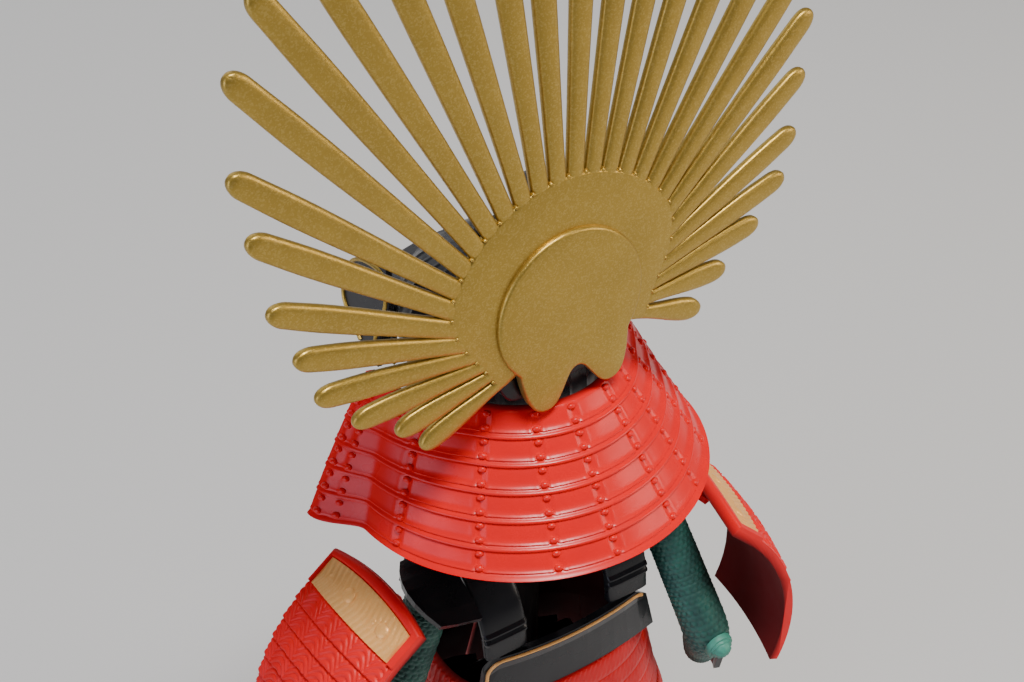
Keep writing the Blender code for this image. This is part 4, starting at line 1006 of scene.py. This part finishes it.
def build_sleeve(side, links):
    """A tube round the arm's path, with staggered links: sqrt |sin a sin b| in height."""
    sign = SIDES[side]
    elbow, wrist = np.array(ELBOW[side]), np.array(WRIST[side])
    shoulder = np.array([sign * 14.3, 4.0, 79.9])
    below = shoulder - [0, 0, 3.0]
    stations = [shoulder, below, (below + elbow) / 2, elbow, (elbow + wrist) / 2, wrist]
    path = smooth_path(stations, 330)
    radius = np.interp(np.linspace(0, 1, 330), [0, 0.15, 0.6, 1], [1.62, 2.22, 2.52, 1.92])
    row = path_length(path)[:, None] / 0.62
    link = np.arange(links * 5)[None, :] / 5 + 0.5 * np.floor(row)
    height = 0.2 * np.sqrt(np.abs(np.sin(math.pi * link) * np.sin(math.pi * row)))
    tube = round_tube(path, radius[:, None] + height, links * 5, (0.0, 1.0, 0.0))
    add_piece("sleeve_mail_" + side, [tube], "green", ["sleeve_" + side], sharp=70)

    turn = full_turn(48)[None, :]
    out = np.array([1.7, 1.7, 1.6, 1.38, 1.3, 1.1, 1.0, 0.6, 0.3, 0.0])[:, None]
    rise = np.array([-0.3, 0.1, 0.32, 0.38, 0.62, 0.7, 1.0, 1.3, 1.42, 1.45])[:, None]
    ripple = smooth_step((out - 0.2) / 0.5) * smooth_step((1.6 - out) / 0.3)
    ripple = 0.05 * np.cos(turn * 8) * ripple
    x = elbow[0] + out * np.cos(turn)
    z = elbow[2] + out * np.sin(turn)
    y = elbow[1] + 2.4 + SEAT + rise + ripple
    disc = tube_part(np.stack([x, y, z], -1))
    add_piece("elbow_disc_" + side, [disc], "green_light", ["elbow_boss_" + side], sharp=40)


# ---- Stage ----

LIGHT_AIM = Vector((0, 0, 0.1))


def put_on_stage(name, data, where=(0, 0, 0), direction=None):
    """A new object at a place, turned so that its -Z looks along the direction."""
    item = bpy.data.objects.new(name, data)
    item.location = where
    if direction:
        item.rotation_euler = Vector(direction).to_track_quat("-Z", "Y").to_euler()
    bpy.context.scene.collection.objects.link(item)
    return item


def build_stage(settings):
    """Pale floor, soft lights and the camera at the photo's angle."""
    floor = bpy.data.meshes.new("pale_floor")
    size = 1.6
    corners = [(-size, -size, 0), (size, -size, 0), (size, size, 0), (-size, size, 0)]
    floor.from_pydata(corners, [], [(0, 1, 2, 3)])
    tree, shader, place = new_finish("floor_paint", settings.floor, Roughness=0.7)
    cloud = add_node(tree, "ShaderNodeTexNoise", Vector=place, Scale=6.0, Detail=2.0)
    tone = tuple(settings.floor)
    blend_colour(tree, cloud.outputs[0], tone, tuple(value * 0.97 for value in tone), shader)
    floor.materials.append(FINISHES["floor_paint"])
    put_on_stage("pale_floor", floor)

    lights = (
        ("key_soft", (-0.05, 0.10, 0.62), 0.16, 3.2, (1.0, 0.97, 0.93)),
        ("left_cool", (0.46, 0.12, 0.22), 0.4, 1.05, (0.74, 0.78, 1.0)),
        ("right_warm", (-0.42, 0.26, 0.26), 0.3, 1.0, (1.0, 0.88, 0.76)),
        ("front_fill", (0.05, -0.5, 0.3), 0.5, 0.6, (0.95, 0.97, 1.0)),
    )
    for name, where, size, power, colour in lights:
        light = bpy.data.lights.new(name, "AREA")
        light.shape = "DISK"
        light.size = size
        light.energy = power
        light.color = colour
        put_on_stage(name, light, where, LIGHT_AIM - Vector(where))

    world = bpy.data.worlds.new("studio_air")
    world.use_nodes = True
    air = world.node_tree.nodes["Background"]
    air.inputs["Color"].default_value = (0.85, 0.88, 0.95, 1)
    air.inputs["Strength"].default_value = 0.16
    bpy.context.scene.world = world

    camera = bpy.data.cameras.new("photo_camera")
    camera.sensor_width = 36
    camera.lens = settings.lens
    camera.clip_start = 0.01
    bpy.context.scene.camera = put_on_stage(
        "photo_camera", camera, settings.camera_place, settings.camera_aim)


# ---- Operators ----

FINISHES = {}
KEPT_FINISHES = {
    "black": [
        "back_band", "front_band", "brow_visor", "face_mask", "turn_back_left", "turn_back_right",
        "shoulder_wing_left", "shoulder_wing_right", "hand_guard_left", "hand_guard_right",
        "thigh_guard_left", "thigh_guard_right", "shin_guard_left", "shin_guard_right",
        "chest", "chest_lid"],
    "wood": ["stand_post", "shoulder_bar", "head_block"],
    "red_lace": ["sode_cord_left", "sode_cord_right"],
}


class ARMOR_OT_finishes(bpy.types.Operator):
    """Make the finishes and put them on the solids that stay"""
    bl_idname = "armor.finishes"
    bl_label = "Finishes"

    def execute(self, context):
        make_finishes(context.scene.armor_colours)
        for finish, nodes in KEPT_FINISHES.items():
            for name in nodes:
                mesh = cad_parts[name].data
                mesh.materials.clear()
                mesh.materials.append(FINISHES[finish])
        return {"FINISHED"}


class ARMOR_OT_crest(bpy.types.Operator):
    """Build the rayed crest"""
    bl_idname = "armor.crest"
    bl_label = "Crest"

    def execute(self, context):
        build_crest(context.scene.armor_sizes)
        return {"FINISHED"}


class ARMOR_OT_helmet(bpy.types.Operator):
    """Build the ribbed bowl, the neck guard and the gilt beads of the helmet"""
    bl_idname = "armor.helmet"
    bl_label = "Helmet"

    def execute(self, context):
        sizes = context.scene.armor_sizes
        build_bowl(sizes.bowl_ribs)
        build_neck_guard(sizes)
        build_throat_guard()
        build_visor_trim()
        for side in SIDES:
            build_turn_back_trim(side)
        return {"FINISHED"}


class ARMOR_OT_body(bpy.types.Operator):
    """Build the laced cuirass and skirt, the band trims and the straps"""
    bl_idname = "armor.body"
    bl_label = "Body"

    def execute(self, context):
        sizes = context.scene.armor_sizes
        build_cuirass(sizes.lace_pitch)
        build_skirt(sizes.lace_pitch)
        for facing in (1, -1):
            build_band_trim(facing, sizes.trim_width)
        for side in SIDES:
            build_strap(side)
        return {"FINISHED"}


class ARMOR_OT_shoulder_guards(bpy.types.Operator):
    """Build the braided shoulder guards and their gilt crown plates"""
    bl_idname = "armor.shoulder_guards"
    bl_label = "Shoulder guards"

    def execute(self, context):
        for side in SIDES:
            build_sode(side, context.scene.armor_sizes.braid_pitch)
        return {"FINISHED"}


class ARMOR_OT_sleeves(bpy.types.Operator):
    """Build the mail sleeves and their elbow discs"""
    bl_idname = "armor.sleeves"
    bl_label = "Sleeves"

    def execute(self, context):
        for side in SIDES:
            build_sleeve(side, context.scene.armor_sizes.mail_links)
        return {"FINISHED"}


class ARMOR_OT_stage(bpy.types.Operator):
    """Build the pale floor, the lights and the camera"""
    bl_idname = "armor.stage"
    bl_label = "Stage"

    def execute(self, context):
        build_stage(context.scene.armor_stage)
        return {"FINISHED"}


STEPS = ("finishes", "crest", "helmet", "body", "shoulder_guards", "sleeves", "stage")


class ARMOR_PT_panel(bpy.types.Panel):
    """Sizes, colours and build steps of the armor"""
    bl_label = "Samurai Armor"
    bl_idname = "ARMOR_PT_panel"
    bl_space_type = "VIEW_3D"
    bl_region_type = "UI"
    bl_category = "Armor"

    def draw(self, context):
        scene = context.scene
        for group in (scene.armor_sizes, scene.armor_colours, scene.armor_stage):
            box = self.layout.box()
            for label in group.__annotations__:
                box.prop(group, label)
        for step in STEPS:
            self.layout.operator("armor." + step)


CLASSES = (
    ArmorSizes, ArmorColours, StageSettings, ARMOR_OT_finishes, ARMOR_OT_crest, ARMOR_OT_helmet,
    ARMOR_OT_body, ARMOR_OT_shoulder_guards, ARMOR_OT_sleeves, ARMOR_OT_stage, ARMOR_PT_panel)


def register():
    for item in CLASSES:
        bpy.utils.register_class(item)
    bpy.types.Scene.armor_sizes = PointerProperty(type=ArmorSizes)
    bpy.types.Scene.armor_colours = PointerProperty(type=ArmorColours)
    bpy.types.Scene.armor_stage = PointerProperty(type=StageSettings)


def unregister():
    del bpy.types.Scene.armor_sizes, bpy.types.Scene.armor_colours, bpy.types.Scene.armor_stage
    for item in reversed(CLASSES):
        bpy.utils.unregister_class(item)


def main():
    register()
    for step in STEPS:
        getattr(bpy.ops.armor, step)()


if __name__ == "__main__":
    main()
